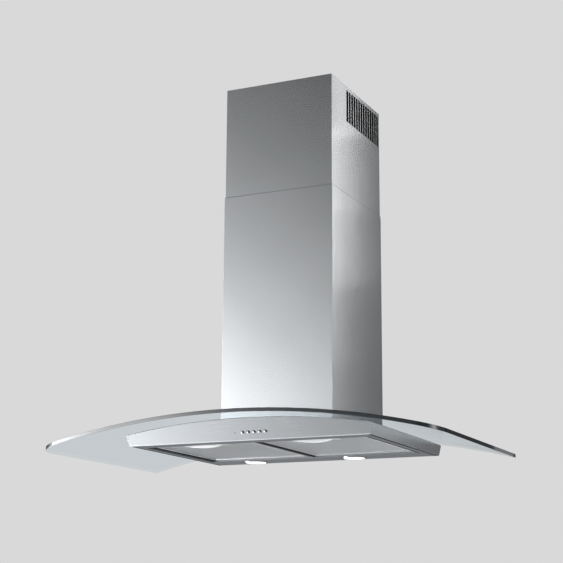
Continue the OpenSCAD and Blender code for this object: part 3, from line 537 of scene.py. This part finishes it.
def turned(name, profile, steps=None):
    """A piece turned round the Z axis from a list of (radius, height), each end on the axis or closed."""
    deselect()
    bpy.ops.mesh.primitive_plane_add(size=0.001)
    piece = bpy.context.object
    piece.name = piece.data.name = name
    edit(piece)
    bpy.ops.mesh.merge(type="CENTER")
    radius, height = profile[0]
    bpy.ops.transform.translate(value=(radius, 0, height))
    for (r0, h0), (r1, h1) in zip(profile, profile[1:]):
        bpy.ops.mesh.extrude_region_move(TRANSFORM_OT_translate={"value": (r1 - r0, 0, h1 - h0)})
    bpy.ops.mesh.select_all(action="SELECT")
    bpy.ops.mesh.spin(steps=steps or sizes().turn_steps, angle=2 * math.pi, center=(0, 0, 0), axis=(0, 0, 1))
    bpy.ops.mesh.select_all(action="SELECT")
    bpy.ops.mesh.remove_doubles(threshold=0.000005)
    bpy.ops.mesh.normals_make_consistent(inside=False)
    stop_edit()
    if not piece.data.polygons:
        raise RuntimeError(name + " has no faces")
    return piece


def moved(piece, matrix):
    """Moves a finished mesh to its place."""
    piece.matrix_world = matrix
    return settle(piece)


def own_copy(piece, name, matrix):
    """A copy of a piece with its own mesh, moved by a matrix."""
    other = bpy.data.objects.new(name, piece.data.copy())
    bpy.context.scene.collection.objects.link(other)
    return moved(other, matrix)


def mirrored(piece, name):
    """The same piece on the other side of the hood."""
    other = own_copy(piece, name, Matrix.Scale(-1, 4, (1, 0, 0)))
    edit(other)
    bpy.ops.mesh.normals_make_consistent(inside=False)
    stop_edit()
    return other


def dress(piece, node, slot=None, *more):
    """Gives a piece its finish and makes it ride in place of a node of the frame."""
    slot = slot or SLOT_OF[node]
    if not more:
        piece.data.materials.clear()
        piece.data.materials.append(finish_of(slot))
    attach(piece, BODY_OF[node])
    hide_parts(node)
    return piece


def paint(piece, slots, test):
    """Gives a piece two finishes, the second one on the faces that pass a test."""
    piece.data.materials.clear()
    for slot in slots:
        piece.data.materials.append(finish_of(slot))
    for face in piece.data.polygons:
        face.material_index = int(test(face))


def finish_node(node, slot=None):
    """Gives a node that stays its material."""
    kept = frame["nodes"][node]
    for material_slot in kept.material_slots:
        material_slot.material = finish_of(slot or SLOT_OF[node])


def round_nodes(nodes, width, segments=2):
    """Stands a tidied copy with rounded edges in for each node."""
    for node in nodes:
        piece = tidied_copy("shaped_" + node, node)
        rounded(piece, width, segments)
        dress(piece, node)


class HOOD_OT_canopy(bpy.types.Operator):
    """Models the bent glass canopy with its polished edge"""

    bl_idname = "hood.canopy"
    bl_label = "Glass canopy"

    def execute(self, context):
        s = sizes()
        low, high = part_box("glass_canopy")
        width = high.x
        drop = high.z - low.z
        thick = s.glass_thickness
        bend = (drop ** 2 - thick ** 2 + width ** 2) / (2 * (drop - thick))
        centre = high.z - bend
        deselect()
        bpy.ops.mesh.primitive_plane_add(size=1.0, location=(0, (low.y + high.y) / 2, 0))
        piece = context.object
        piece.name = piece.data.name = "canopy_sheet"
        piece.scale = (2 * width, high.y - low.y, 1)
        settle(piece)
        edit(piece)
        select_where(piece, "verts", lambda v: v.co.y < low.y + 0.001)
        bpy.ops.mesh.bevel(offset=s.glass_corner, segments=14, affect="VERTICES", profile=0.5)
        bpy.ops.mesh.select_all(action="SELECT")
        bpy.ops.mesh.extrude_region_move(TRANSFORM_OT_translate={"value": (0, 0, -thick)})
        bpy.ops.mesh.select_all(action="SELECT")
        bpy.ops.mesh.normals_make_consistent(inside=False)
        stop_edit()
        self.cut_neck(piece, s, thick)
        edit(piece)
        count = round(2 * width / s.glass_strip)
        for i in range(1, count):
            bpy.ops.mesh.select_all(action="SELECT")
            bpy.ops.mesh.bisect(plane_co=(-width + 2 * width * i / count, 0, 0), plane_no=(1, 0, 0))
        stop_edit()
        for vertex in piece.data.vertices:
            radius = bend if vertex.co.z > -thick / 2 else bend - thick
            vertex.co.z = centre + math.sqrt(radius ** 2 - vertex.co.x ** 2)
        piece.data.materials.append(finish_of("canopy_glass"))
        # The front and side edges are one finish with two IORs: the front reflects more strongly and the
        # sides less, a painted highlight on the front and painted shade on the sides
        piece.data.materials.append(glass_edge("Canopy front edge", colours().glass_edge, 2.2))
        piece.data.materials.append(glass_edge("Canopy side edge", colours().glass_edge, 1.25))
        rounded(piece, s.glass_polish, segments=3, angle=45)
        rim_y = -s.neck_back - s.neck_depth
        reach = s.neck_width / 2 + NECK_MARGIN
        for face in piece.data.polygons:
            on_neck = abs(face.center.x) < reach and face.center.y > rim_y - NECK_MARGIN
            in_rim = face.center.y < NECK_REAR and on_neck
            if abs(face.normal.z) < UPRIGHT and not in_rim:
                face.material_index = 1 if face.normal.y < FORWARD else 2
        dress(piece, "glass_canopy", "canopy_glass", "edge")
        return {"FINISHED"}

    @staticmethod
    def cut_neck(piece, s, thick):
        """Cuts the opening under the flue and the four bush holes beside it."""
        front = -s.neck_back - s.neck_depth
        half = s.neck_width / 2
        cutter = block("neck_cutter", (-half, front, -2 * thick), (half, -s.neck_back, thick))
        modify(piece, "BOOLEAN", operation="DIFFERENCE", object=cutter, solver="EXACT")
        bpy.data.objects.remove(cutter)
        bush_low, bush_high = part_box("glass_bushes")
        bush = BUSH_RADIUS
        for x in (bush_low.x + bush, bush_high.x - bush):
            for y in (bush_low.y + bush, bush_high.y - bush):
                deselect()
                bpy.ops.mesh.primitive_cylinder_add(
                    radius=bush, depth=4 * thick, vertices=32, location=(x, y, 0))
                cutter = settle(bpy.context.object)
                modify(piece, "BOOLEAN", operation="DIFFERENCE", object=cutter, solver="EXACT")
                bpy.data.objects.remove(cutter)


class HOOD_OT_seals(bpy.types.Operator):
    """Finishes the seals, bushes and screws that hold the glass"""

    bl_idname = "hood.seals"
    bl_label = "Seals and clamps"

    def execute(self, context):
        round_nodes(["chassis_saddle", "wall_bumpers"], sizes().part_round)
        finish_node("glass_gasket", "clear_seal")
        for node in ("neck_gasket", "glass_bushes", "glass_fixings"):
            finish_node(node)
        return {"FINISHED"}


class HOOD_OT_body(bpy.types.Operator):
    """Models the folded panels of the body"""

    bl_idname = "hood.body"
    bl_label = "Body panels"

    def execute(self, context):
        s = sizes()
        self.front(s)
        self.bottom(s)
        round_nodes(["left_side_panel", "right_side_panel", "back_panel", "body_top_plate"], s.sheet_round)
        round_nodes(["filter_divider"], s.part_round)
        return {"FINISHED"}

    @staticmethod
    def front(s):
        """The front panel with the hem along its lower edge."""
        piece = tidied_copy("shaped_front_panel", "front_panel")
        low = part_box("front_panel")[0]
        edit(piece)
        bpy.ops.mesh.bisect(plane_co=(0, 0, low.z + s.hem), plane_no=(0, 0, 1))
        stop_edit()
        bottom = [v for v in piece.data.vertices if v.co.z < low.z + 0.0001]
        foremost = min(v.co.y for v in bottom)
        for vertex in bottom:
            if vertex.co.y < foremost + 0.0003:
                vertex.co.y += s.hem * 0.4
        dress(rounded(piece, s.sheet_round, angle=40), "front_panel")

    @staticmethod
    def bottom(s):
        """The underside frame with near-black strips on both sides of its side rails: painted shadow at the
        foot of each side panel and beside each filter.
        """
        piece = tidied_copy("shaped_bottom_frame", "bottom_frame")
        low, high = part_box("bottom_frame")
        filter_low, filter_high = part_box("right_filter_frame")
        outer = high.x - s.side_shadow
        inner = filter_high.x + s.filter_shadow
        edit(piece)
        for x in (-outer, -inner, inner, outer):
            bpy.ops.mesh.select_all(action="SELECT")
            bpy.ops.mesh.bisect(plane_co=(x, 0, 0), plane_no=(1, 0, 0))
        for y in (filter_low.y, filter_high.y):
            bpy.ops.mesh.select_all(action="SELECT")
            bpy.ops.mesh.bisect(plane_co=(0, y, 0), plane_no=(0, 1, 0))
        stop_edit()
        rounded(piece, s.sheet_round)

        def in_shadow_strip(face):
            x, y, z = face.center
            by_filter = filter_high.x - 0.001 < abs(x) < inner and filter_low.y < y < filter_high.y
            return z < low.z + FACE_LAYER and (abs(x) > outer or by_filter)
        # The faces in these strips get the near-black finish: painted shadow
        paint(piece, ("stainless_underside", "dark_joint"), in_shadow_strip)
        dress(piece, "bottom_frame", "stainless_underside", "dark_joint")


class HOOD_OT_flues(bpy.types.Operator):
    """Models the two flue covers and their bracket"""

    bl_idname = "hood.flues"
    bl_label = "Flues"

    def execute(self, context):
        round_nodes(["upper_flue", "upper_flue_bracket"], sizes().sheet_round)
        self.lower_flue(sizes())
        self.vent_shade_sheets(sizes())
        return {"FINISHED"}

    @staticmethod
    def vent_shade_sheets(s):
        """Black sheets behind the vent slots, one on the inner face of each side: painted shade that keeps
        the slots as dark as the shaded inside of the flue.
        """
        low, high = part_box("upper_flue")
        inner = high.x - SHEET
        for name, sign in (("left_vent_screen", -1), ("right_vent_screen", 1)):
            ends = sorted((sign * (inner - s.shade_sheet_thickness), sign * (inner - SHADE_SHEET_CLEARANCE)))
            foot = high.z - s.shade_sheet_height
            piece = block(name, (ends[0], low.y + SHADE_SHEET_FRONT, foot),
                          (ends[1], high.y - SHADE_SHEET_BACK, high.z - SHADE_SHEET_TOP))
            edit(piece)
            for height in (0.3, 0.7):
                bpy.ops.mesh.select_all(action="SELECT")
                bpy.ops.mesh.bisect(plane_co=(0, 0, high.z - height * s.shade_sheet_height), plane_no=(0, 0, 1))
            stop_edit()
            modify(piece, "BEVEL", width=s.shade_sheet_thickness / 4, segments=1)
            # The near-black finish makes these sheets painted shade
            piece.data.materials.append(finish_of("dark_joint"))
            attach(piece, BODY_OF["upper_flue"])

    @staticmethod
    def lower_flue(s):
        """The lower flue with a near-black band round its top: painted shade along the seam under the upper
        flue.
        """
        piece = tidied_copy("shaped_lower_flue", "lower_flue")
        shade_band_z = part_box("lower_flue")[1].z - s.cut_edge
        edit(piece)
        bpy.ops.mesh.bisect(plane_co=(0, 0, shade_band_z), plane_no=(0, 0, 1))
        stop_edit()
        rounded(piece, s.sheet_round)
        paint(piece, ("stainless_flue", "cut_edge"), lambda face: face.center.z > shade_band_z)
        dress(piece, "lower_flue", "stainless_flue", "cut_edge")


class HOOD_OT_filters(bpy.types.Operator):
    """Models the grease filters with their layers of expanded mesh, and their latches"""

    bl_idname = "hood.filters"
    bl_label = "Grease filters"

    def execute(self, context):
        s = sizes()
        for node in ("right_filter_frame", "right_filter_latch"):
            width = s.sheet_round if node.endswith("frame") else s.part_round
            piece = rounded(tidied_copy("shaped_" + node, node), width)
            slots = (SLOT_OF[node],)
            if node.endswith("frame"):
                # The faces in the steps along the long sides get the near-black finish: painted shadow in the
                # recess
                slots = (SLOT_OF[node], "dark_joint")
                paint(piece, slots, in_step(*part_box(node)))
            other = mirrored(piece, piece.name.replace("right", "left"))
            dress(piece, node, *slots)
            dress(other, node.replace("right", "left"), *slots)
        low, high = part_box("right_filter_mesh")
        middle = (low.x + high.x) / 2
        notch = (middle - PLATE_HALF, middle + PLATE_HALF, low.y - FRAME_BAR + PLATE_DEPTH)
        face = expanded_net("right_mesh_face", low, high, low.z, s, notch)
        core_z = low.z + 2.2 * s.net_thickness
        core = expanded_net("right_mesh_core", low, high, core_z, s, notch, crossed=True)
        back = mesh_back("right_mesh_back", low, high, notch)
        for piece in (face, core, back):
            other = mirrored(piece, piece.name.replace("right", "left"))
            dress(piece, "right_filter_mesh")
            dress(other, "left_filter_mesh")
        return {"FINISHED"}


def in_step(low, high):
    """Tells the faces of the shaded steps along both long sides of a filter frame."""
    def test(face):
        beside = min(face.center.x - low.x, high.x - face.center.x)
        return 0.0005 < face.center.z - low.z < STEP_DEEP and beside < STEP_WIDE
    return test


def expanded_net(name, low, high, z, s, notch, crossed=False):
    """One layer of expanded mesh in a rectangle, with a notch at the latch plate.

    The diamonds of a crossed layer lie across those of the others.
    """
    long_way, short_way = (s.net_short, s.net_long) if crossed else (s.net_long, s.net_short)
    width, depth = high.x - low.x, high.y - low.y
    count = math.ceil(width / long_way + depth / short_way) + 1
    deselect()
    bpy.ops.mesh.primitive_grid_add(x_subdivisions=count, y_subdivisions=count, size=count / math.sqrt(2))
    piece = bpy.context.object
    piece.name = piece.data.name = name
    piece.rotation_euler.z = math.pi / 4
    settle(piece)
    piece.scale = (long_way, short_way, 1)
    piece.location = ((low.x + high.x) / 2, (low.y + high.y) / 2, z)
    settle(piece)
    edit(piece)
    for place, normal in (((low.x, 0, 0), (-1, 0, 0)), ((high.x, 0, 0), (1, 0, 0)),
                          ((0, low.y, 0), (0, -1, 0)), ((0, high.y, 0), (0, 1, 0))):
        bpy.ops.mesh.select_all(action="SELECT")
        bpy.ops.mesh.bisect(plane_co=place, plane_no=normal, clear_outer=True)
    x0, x1, y1 = notch
    for place, normal in (((x0, 0, 0), (1, 0, 0)), ((x1, 0, 0), (1, 0, 0)), ((0, y1, 0), (0, 1, 0))):
        bpy.ops.mesh.select_all(action="SELECT")
        bpy.ops.mesh.bisect(plane_co=place, plane_no=normal)

    def in_notch(face):
        middle = face.calc_center_median()
        return x0 < middle.x < x1 and middle.y < y1
    select_where(piece, "faces", in_notch)
    bpy.ops.mesh.delete(type="FACE")
    bpy.ops.mesh.select_all(action="SELECT")
    bpy.ops.mesh.inset(thickness=s.net_strand / 2, use_individual=True, use_even_offset=True)
    bpy.ops.mesh.delete(type="FACE")
    stop_edit()
    return modify(piece, "SOLIDIFY", thickness=s.net_thickness, offset=1)


def mesh_back(name, low, high, notch):
    """The pressed inner layers of the mesh pack, behind the two that show."""
    x0, x1, y1 = notch
    piece = block(name, (low.x, low.y, low.z + BACK_LAYER), (high.x, high.y, high.z))
    cutter = block("notch_cutter", (x0, low.y - 0.01, low.z - 0.01), (x1, y1, high.z + 0.01))
    modify(piece, "BOOLEAN", operation="DIFFERENCE", object=cutter, solver="EXACT")
    bpy.data.objects.remove(cutter)
    return modify(piece, "BEVEL", width=0.0006, segments=2)


class HOOD_OT_lamps(bpy.types.Operator):
    """Models the lamps with their bezels and lit lenses"""

    bl_idname = "hood.lamps"
    bl_label = "Lamps"

    def execute(self, context):
        s = sizes()
        for side in SIDES:
            low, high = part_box(side + "_lamp_ring")
            place = Matrix.Translation(((low.x + high.x) / 2, (low.y + high.y) / 2, low.z))
            outer = (high.x - low.x) / 2
            lens_low, lens_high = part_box(side + "_lamp_lens")
            lens = (lens_high.x - lens_low.x) / 2
            ring = turned(side + "_bezel", [
                (lens - LIP, FLANGE), (lens - LIP, LIP_CHAMFER), (lens, 0), (outer - 0.0015, 0),
                (outer - LIP_CHAMFER, LIP_CHAMFER), (outer, 0.0011), (outer, FLANGE), (lens + LIP, FLANGE),
                (lens + LIP, high.z - low.z), (lens, high.z - low.z), (lens, FLANGE),
                (lens - LIP, FLANGE)], steps=64)
            ring = smooth(moved(ring, place))
            middle = place.translation
            paint(ring, ("lamp_bezel", "stainless_underside"),
                  lambda face: (face.center - middle).to_2d().length > lens + LIP)
            dress(ring, side + "_lamp_ring", "lamp_bezel", "stainless_underside")
            glass = self.ribbed_lens(side + "_lens", lens, lens_high.z - lens_low.z)
            dress(smooth(moved(glass, Matrix.Translation(
                (place.translation.x, place.translation.y, lens_low.z))), 25), side + "_lamp_lens")
            round_nodes([side + "_lamp_housing"], s.sheet_round)
            round_nodes([side + "_lamp_bulb"], s.part_round)
        round_nodes(["lamp_transformer"], 0.0015)
        return {"FINISHED"}

    @staticmethod
    def ribbed_lens(name, radius, thickness):
        """A round lens with pressed rings on its face."""
        ribs = 7
        pitch = radius / ribs
        profile = [(0.0, thickness), (radius, thickness), (radius, 0.0)]
        for i in range(ribs, 0, -1):
            profile += [((i - 0.5) * pitch, 0.00045), ((i - 1) * pitch, 0.0)]
        return turned(name, profile, steps=56)


class HOOD_OT_controls(bpy.types.Operator):
    """Models the domed push buttons, the indicator and the switch block"""

    bl_idname = "hood.controls"
    bl_label = "Controls"

    def execute(self, context):
        for node in (*BUTTONS, "indicator_lens"):
            self.cap(node, PANEL_LEAN)
        round_nodes(["switch_block"], sizes().part_round / 2)
        round_nodes(["control_board"], sizes().sheet_round)
        return {"FINISHED"}

    @staticmethod
    def cap(node, lean):
        """A domed cap on its stem, turned to the leaning panel."""
        out = Vector((0, -math.cos(lean), -math.sin(lean)))
        vertices = [v.co for v in frame["nodes"][node].data.vertices]
        reach = [v.dot(out) for v in vertices]
        top, bottom = max(reach), min(reach)
        crown = [v for v, r in zip(vertices, reach) if r > top - 0.00005]
        middle = sum(crown, Vector()) / len(crown)
        middle -= out * (middle.dot(out) - top)
        stem_end = [v for v, r in zip(vertices, reach) if r < bottom + 0.00005]
        stem = max((v - sum(stem_end, Vector()) / len(stem_end)).length for v in stem_end)
        radius = max((v - middle - out * (v - middle).dot(out)).length for v in vertices)
        dome = BUTTON_DOME if node in BUTTONS else INDICATOR_DOME
        curve = (radius ** 2 + dome ** 2) / (2 * dome)
        arc = math.asin(min(1.0, radius / curve))
        points = [(curve * math.sin(arc * i / 8), curve * math.cos(arc * i / 8) - curve) for i in range(9)]
        skirt = -dome - CAP_SKIRT
        length = top - bottom
        profile = [*points, (radius, skirt), (stem, skirt), (stem, -length), (0.0, -length)]
        if stem > radius - 0.0003:
            profile = [*points, (radius, -length), (0.0, -length)]
        piece = turned("domed_" + node, profile, steps=36)
        frame_of = Matrix.Rotation(math.pi / 2 + lean, 4, "X")
        dress(smooth(moved(piece, Matrix.Translation(middle) @ frame_of), 40), node)


class HOOD_OT_chassis(bpy.types.Operator):
    """Models the chassis, the outlet and the electrics on its lid"""

    bl_idname = "hood.chassis"
    bl_label = "Chassis and outlet"

    def execute(self, context):
        s = sizes()
        round_nodes(["chassis", "chassis_lid", "chassis_front", "front_flap", "rear_flap"], s.sheet_round)
        round_nodes(["outlet_collar", "terminal_box", "terminal_cover", "terminal_block", "capacitor"],
                    s.part_round / 2)
        round_nodes(["cable_gland"], s.part_round / 2)
        finish_node("flap_pin")
        return {"FINISHED"}


class HOOD_OT_blower(bpy.types.Operator):
    """Models the scroll, the impeller and the motor"""

    bl_idname = "hood.blower"
    bl_label = "Blower"

    def execute(self, context):
        s = sizes()
        round_nodes(["scroll_wrap", "scroll_left_plate", "scroll_right_plate", "motor_bracket"],
                    s.sheet_round)
        round_nodes(["motor", "motor_mounts"], s.part_round)
        for node in ("impeller", "motor_shaft"):
            finish_node(node)
        return {"FINISHED"}


class HOOD_OT_studio(bpy.types.Operator):
    """Sets the camera, the plain floor, the backdrop and the soft light"""

    bl_idname = "hood.studio"
    bl_label = "Studio"

    def execute(self, context):
        st = studio()
        scene = context.scene
        scene.view_settings.view_transform = "Standard"
        scene.view_settings.look = "None"
        self.camera(scene, st)
        self.floor(st)
        self.world(scene, st)
        self.lights()
        return {"FINISHED"}

    @staticmethod
    def camera(scene, st):
        data = bpy.data.cameras.new("Camera")
        data.lens = st.lens
        data.sensor_width = 36.0
        data.clip_end = 60.0
        turn, rise, roll = st.camera_turn, st.camera_rise, st.camera_roll
        ahead = Vector((-math.sin(turn) * math.cos(rise), math.cos(turn) * math.cos(rise), math.sin(rise)))
        right = Vector((math.cos(turn), math.sin(turn), 0))
        up = right.cross(ahead)
        rolled_right = right * math.cos(roll) + up * math.sin(roll)
        rolled_up = up * math.cos(roll) - right * math.sin(roll)
        matrix = Matrix((rolled_right, rolled_up, -ahead)).transposed().to_4x4()
        matrix.translation = st.camera_place
        camera = bpy.data.objects.new("Camera", data)
        scene.collection.objects.link(camera)
        camera.matrix_world = matrix
        scene.camera = camera

    @staticmethod
    def floor(st):
        deselect()
        bpy.ops.mesh.primitive_circle_add(
            radius=14, vertices=96, fill_type="NGON", location=(0, 0, -st.floor_drop))
        floor = settle(bpy.context.object)
        floor.name = "floor"
        floor.visible_glossy = False
        floor.visible_diffuse = False
        floor.visible_transmission = False
        finish = Finish("Pale floor", Roughness=0.9, Emission_Strength=0.62)
        tone = finish.noise((0.6, 0.6, 0.6), detail=2)
        finish.feed("Base Color", finish.mixed(tone, (0.66, 0.66, 0.66), (0.7, 0.7, 0.7)))
        finish.feed("Emission Color", finish.mixed(tone, (0.97, 0.97, 0.97), (1.0, 1.0, 1.0)))
        floor.data.materials.append(finish.material)

    @staticmethod
    def world(scene, st):
        world = bpy.data.worlds.new("Studio")
        scene.world = world
        world.use_nodes = True
        tree = world.node_tree
        tree.nodes.clear()
        links = tree.links

        def node(kind, **settings):
            made = tree.nodes.new(kind)
            for key, value in settings.items():
                setattr(made, key, value)
            return made

        def maths(operation, first, second):
            made = node("ShaderNodeMath", operation=operation)
            for i, value in enumerate((first, second)):
                if isinstance(value, float):
                    made.inputs[i].default_value = value
                else:
                    links.new(value, made.inputs[i])
            return made.outputs["Value"]

        direction = node("ShaderNodeTexCoord").outputs["Generated"]
        total = None
        for name, azimuth, elevation, sharpness, strength in WORLD_GLOWS:
            a, e = math.radians(azimuth), math.radians(elevation)
            dot = node("ShaderNodeVectorMath", operation="DOT_PRODUCT", label=name)
            links.new(direction, dot.inputs[0])
            dot.inputs[1].default_value = (math.sin(a) * math.cos(e), -math.cos(a) * math.cos(e), math.sin(e))
            falloff = maths("MULTIPLY", maths("SUBTRACT", dot.outputs["Value"], 1.0), float(sharpness))
            glow = maths("MULTIPLY", maths("EXPONENT", falloff, 0.0), float(strength))
            total = glow if total is None else maths("ADD", total, glow)
        light = node("ShaderNodeBackground")
        light.inputs["Color"].default_value = (0.97, 0.985, 1.0, 1.0)
        links.new(total, light.inputs["Strength"])
        plain = node("ShaderNodeBackground")
        plain.inputs["Color"].default_value = (1.0, 1.0, 1.0, 1.0)
        plain.inputs["Strength"].default_value = st.backdrop
        path = node("ShaderNodeLightPath")
        seen = maths("MAXIMUM", path.outputs["Is Camera Ray"], path.outputs["Is Transmission Ray"])
        choice = node("ShaderNodeMixShader")
        links.new(seen, choice.inputs["Fac"])
        links.new(light.outputs["Background"], choice.inputs[1])
        links.new(plain.outputs["Background"], choice.inputs[2])
        links.new(choice.outputs["Shader"], node("ShaderNodeOutputWorld").inputs["Surface"])

    @staticmethod
    def lights():
        for name, place, power in SOFT_BOXES:
            data = bpy.data.lights.new(name, "AREA")
            data.shape = "RECTANGLE"
            data.size, data.size_y, data.energy = SOFT_BOX_WIDE, SOFT_BOX_TALL, power
            lamp = bpy.data.objects.new(name, data)
            bpy.context.scene.collection.objects.link(lamp)
            lamp.location = place
            facing = Vector((0.13, -0.29, place[2] - 0.1)) - Vector(place)
            lamp.rotation_euler = facing.to_track_quat("-Z", "Y").to_euler()
            lamp.visible_camera = False
            lamp.visible_transmission = False


# Glows of the studio walls: name, azimuth from straight ahead of the hood, elevation, sharpness, strength
WORLD_GLOWS = [
    ("all round", 0, 0, 0, 0.035),
    ("ceiling", 0, 85, 3, 0.06),
    ("floor", 0, -88, 6, 2.7),
    ("under", 180, -55, 12, 3.8),
    ("front", 22, 4, 12, 0.05),
    ("right", 105, 10, 4, 0.15),
    ("right corner", 65, 5, 25, 2.0),
    ("left", -110, 5, 3, 0.1),
    ("key", -85, 25, 12, 0.5),
    ("low left", -66, -28, 30, 9.0),
    ("left window", -66, -14, 30, 14.5),
    ("low window", -46, -10, 40, 1.2),
    ("window side", -46, 4, 60, 8.3),
    ("window", -34, -2, 60, 0.9),
    ("rear", 180, 10, 3, 0.12),
    ("rear floor", -150, -14, 60, 0.35),
    ("glass glint", -35.5, 7, 2000, 9.0),
    ("glass shine", -31, 7.5, 1200, 1.5),
]
# Soft boxes beside the flue, all facing its side: name, place, power
SOFT_BOXES = [
    ("Foot near", (0.399, 0.176, -0.15), 0.04),
    ("Foot far", (0.462, 0.147, -0.15), 0.04),
    ("Low near", (0.399, 0.176, 0.05), 0.055),
    ("Low far", (0.462, 0.147, 0.05), 0.07),
    ("Middle near", (0.335, 0.205, 0.25), 0.02),
    ("Middle far", (0.462, 0.147, 0.25), 0.31),
    ("High near", (0.335, 0.205, 0.45), 0.03),
    ("High middle", (0.399, 0.176, 0.45), 0.06),
    ("High far", (0.462, 0.147, 0.45), 0.13),
    ("Top", (0.335, 0.205, 0.65), 0.08),
    ("Beside the body", (0.54, 0.19, -0.33), 0.025),
]


class HOOD_PT_panel(bpy.types.Panel):
    """Lists the pieces of the hood"""

    bl_idname = "HOOD_PT_panel"
    bl_label = "Chimney hood"
    bl_space_type = "VIEW_3D"
    bl_region_type = "UI"
    bl_category = "Hood"

    def draw(self, context):
        for operator in OPERATORS:
            self.layout.operator(operator.bl_idname)
        for group in (context.scene.hood_sizes, context.scene.hood_colours, context.scene.hood_studio):
            box = self.layout.box()
            for name in group.__annotations__:
                box.prop(group, name)


OPERATORS = (
    HOOD_OT_studio, HOOD_OT_canopy, HOOD_OT_seals, HOOD_OT_body, HOOD_OT_flues, HOOD_OT_filters,
    HOOD_OT_lamps, HOOD_OT_controls, HOOD_OT_chassis, HOOD_OT_blower,
)
CLASSES = (HoodSizes, HoodColours, HoodStudio, *OPERATORS, HOOD_PT_panel)


def register():
    for made in CLASSES:
        bpy.utils.register_class(made)
    bpy.types.Scene.hood_sizes = PointerProperty(type=HoodSizes)
    bpy.types.Scene.hood_colours = PointerProperty(type=HoodColours)
    bpy.types.Scene.hood_studio = PointerProperty(type=HoodStudio)


def unregister():
    del bpy.types.Scene.hood_studio
    del bpy.types.Scene.hood_colours
    del bpy.types.Scene.hood_sizes
    for made in reversed(CLASSES):
        bpy.utils.unregister_class(made)


def main():
    register()
    for operator in OPERATORS:
        getattr(bpy.ops.hood, operator.bl_idname.split(".")[1])()


if __name__ == "__main__":
    main()
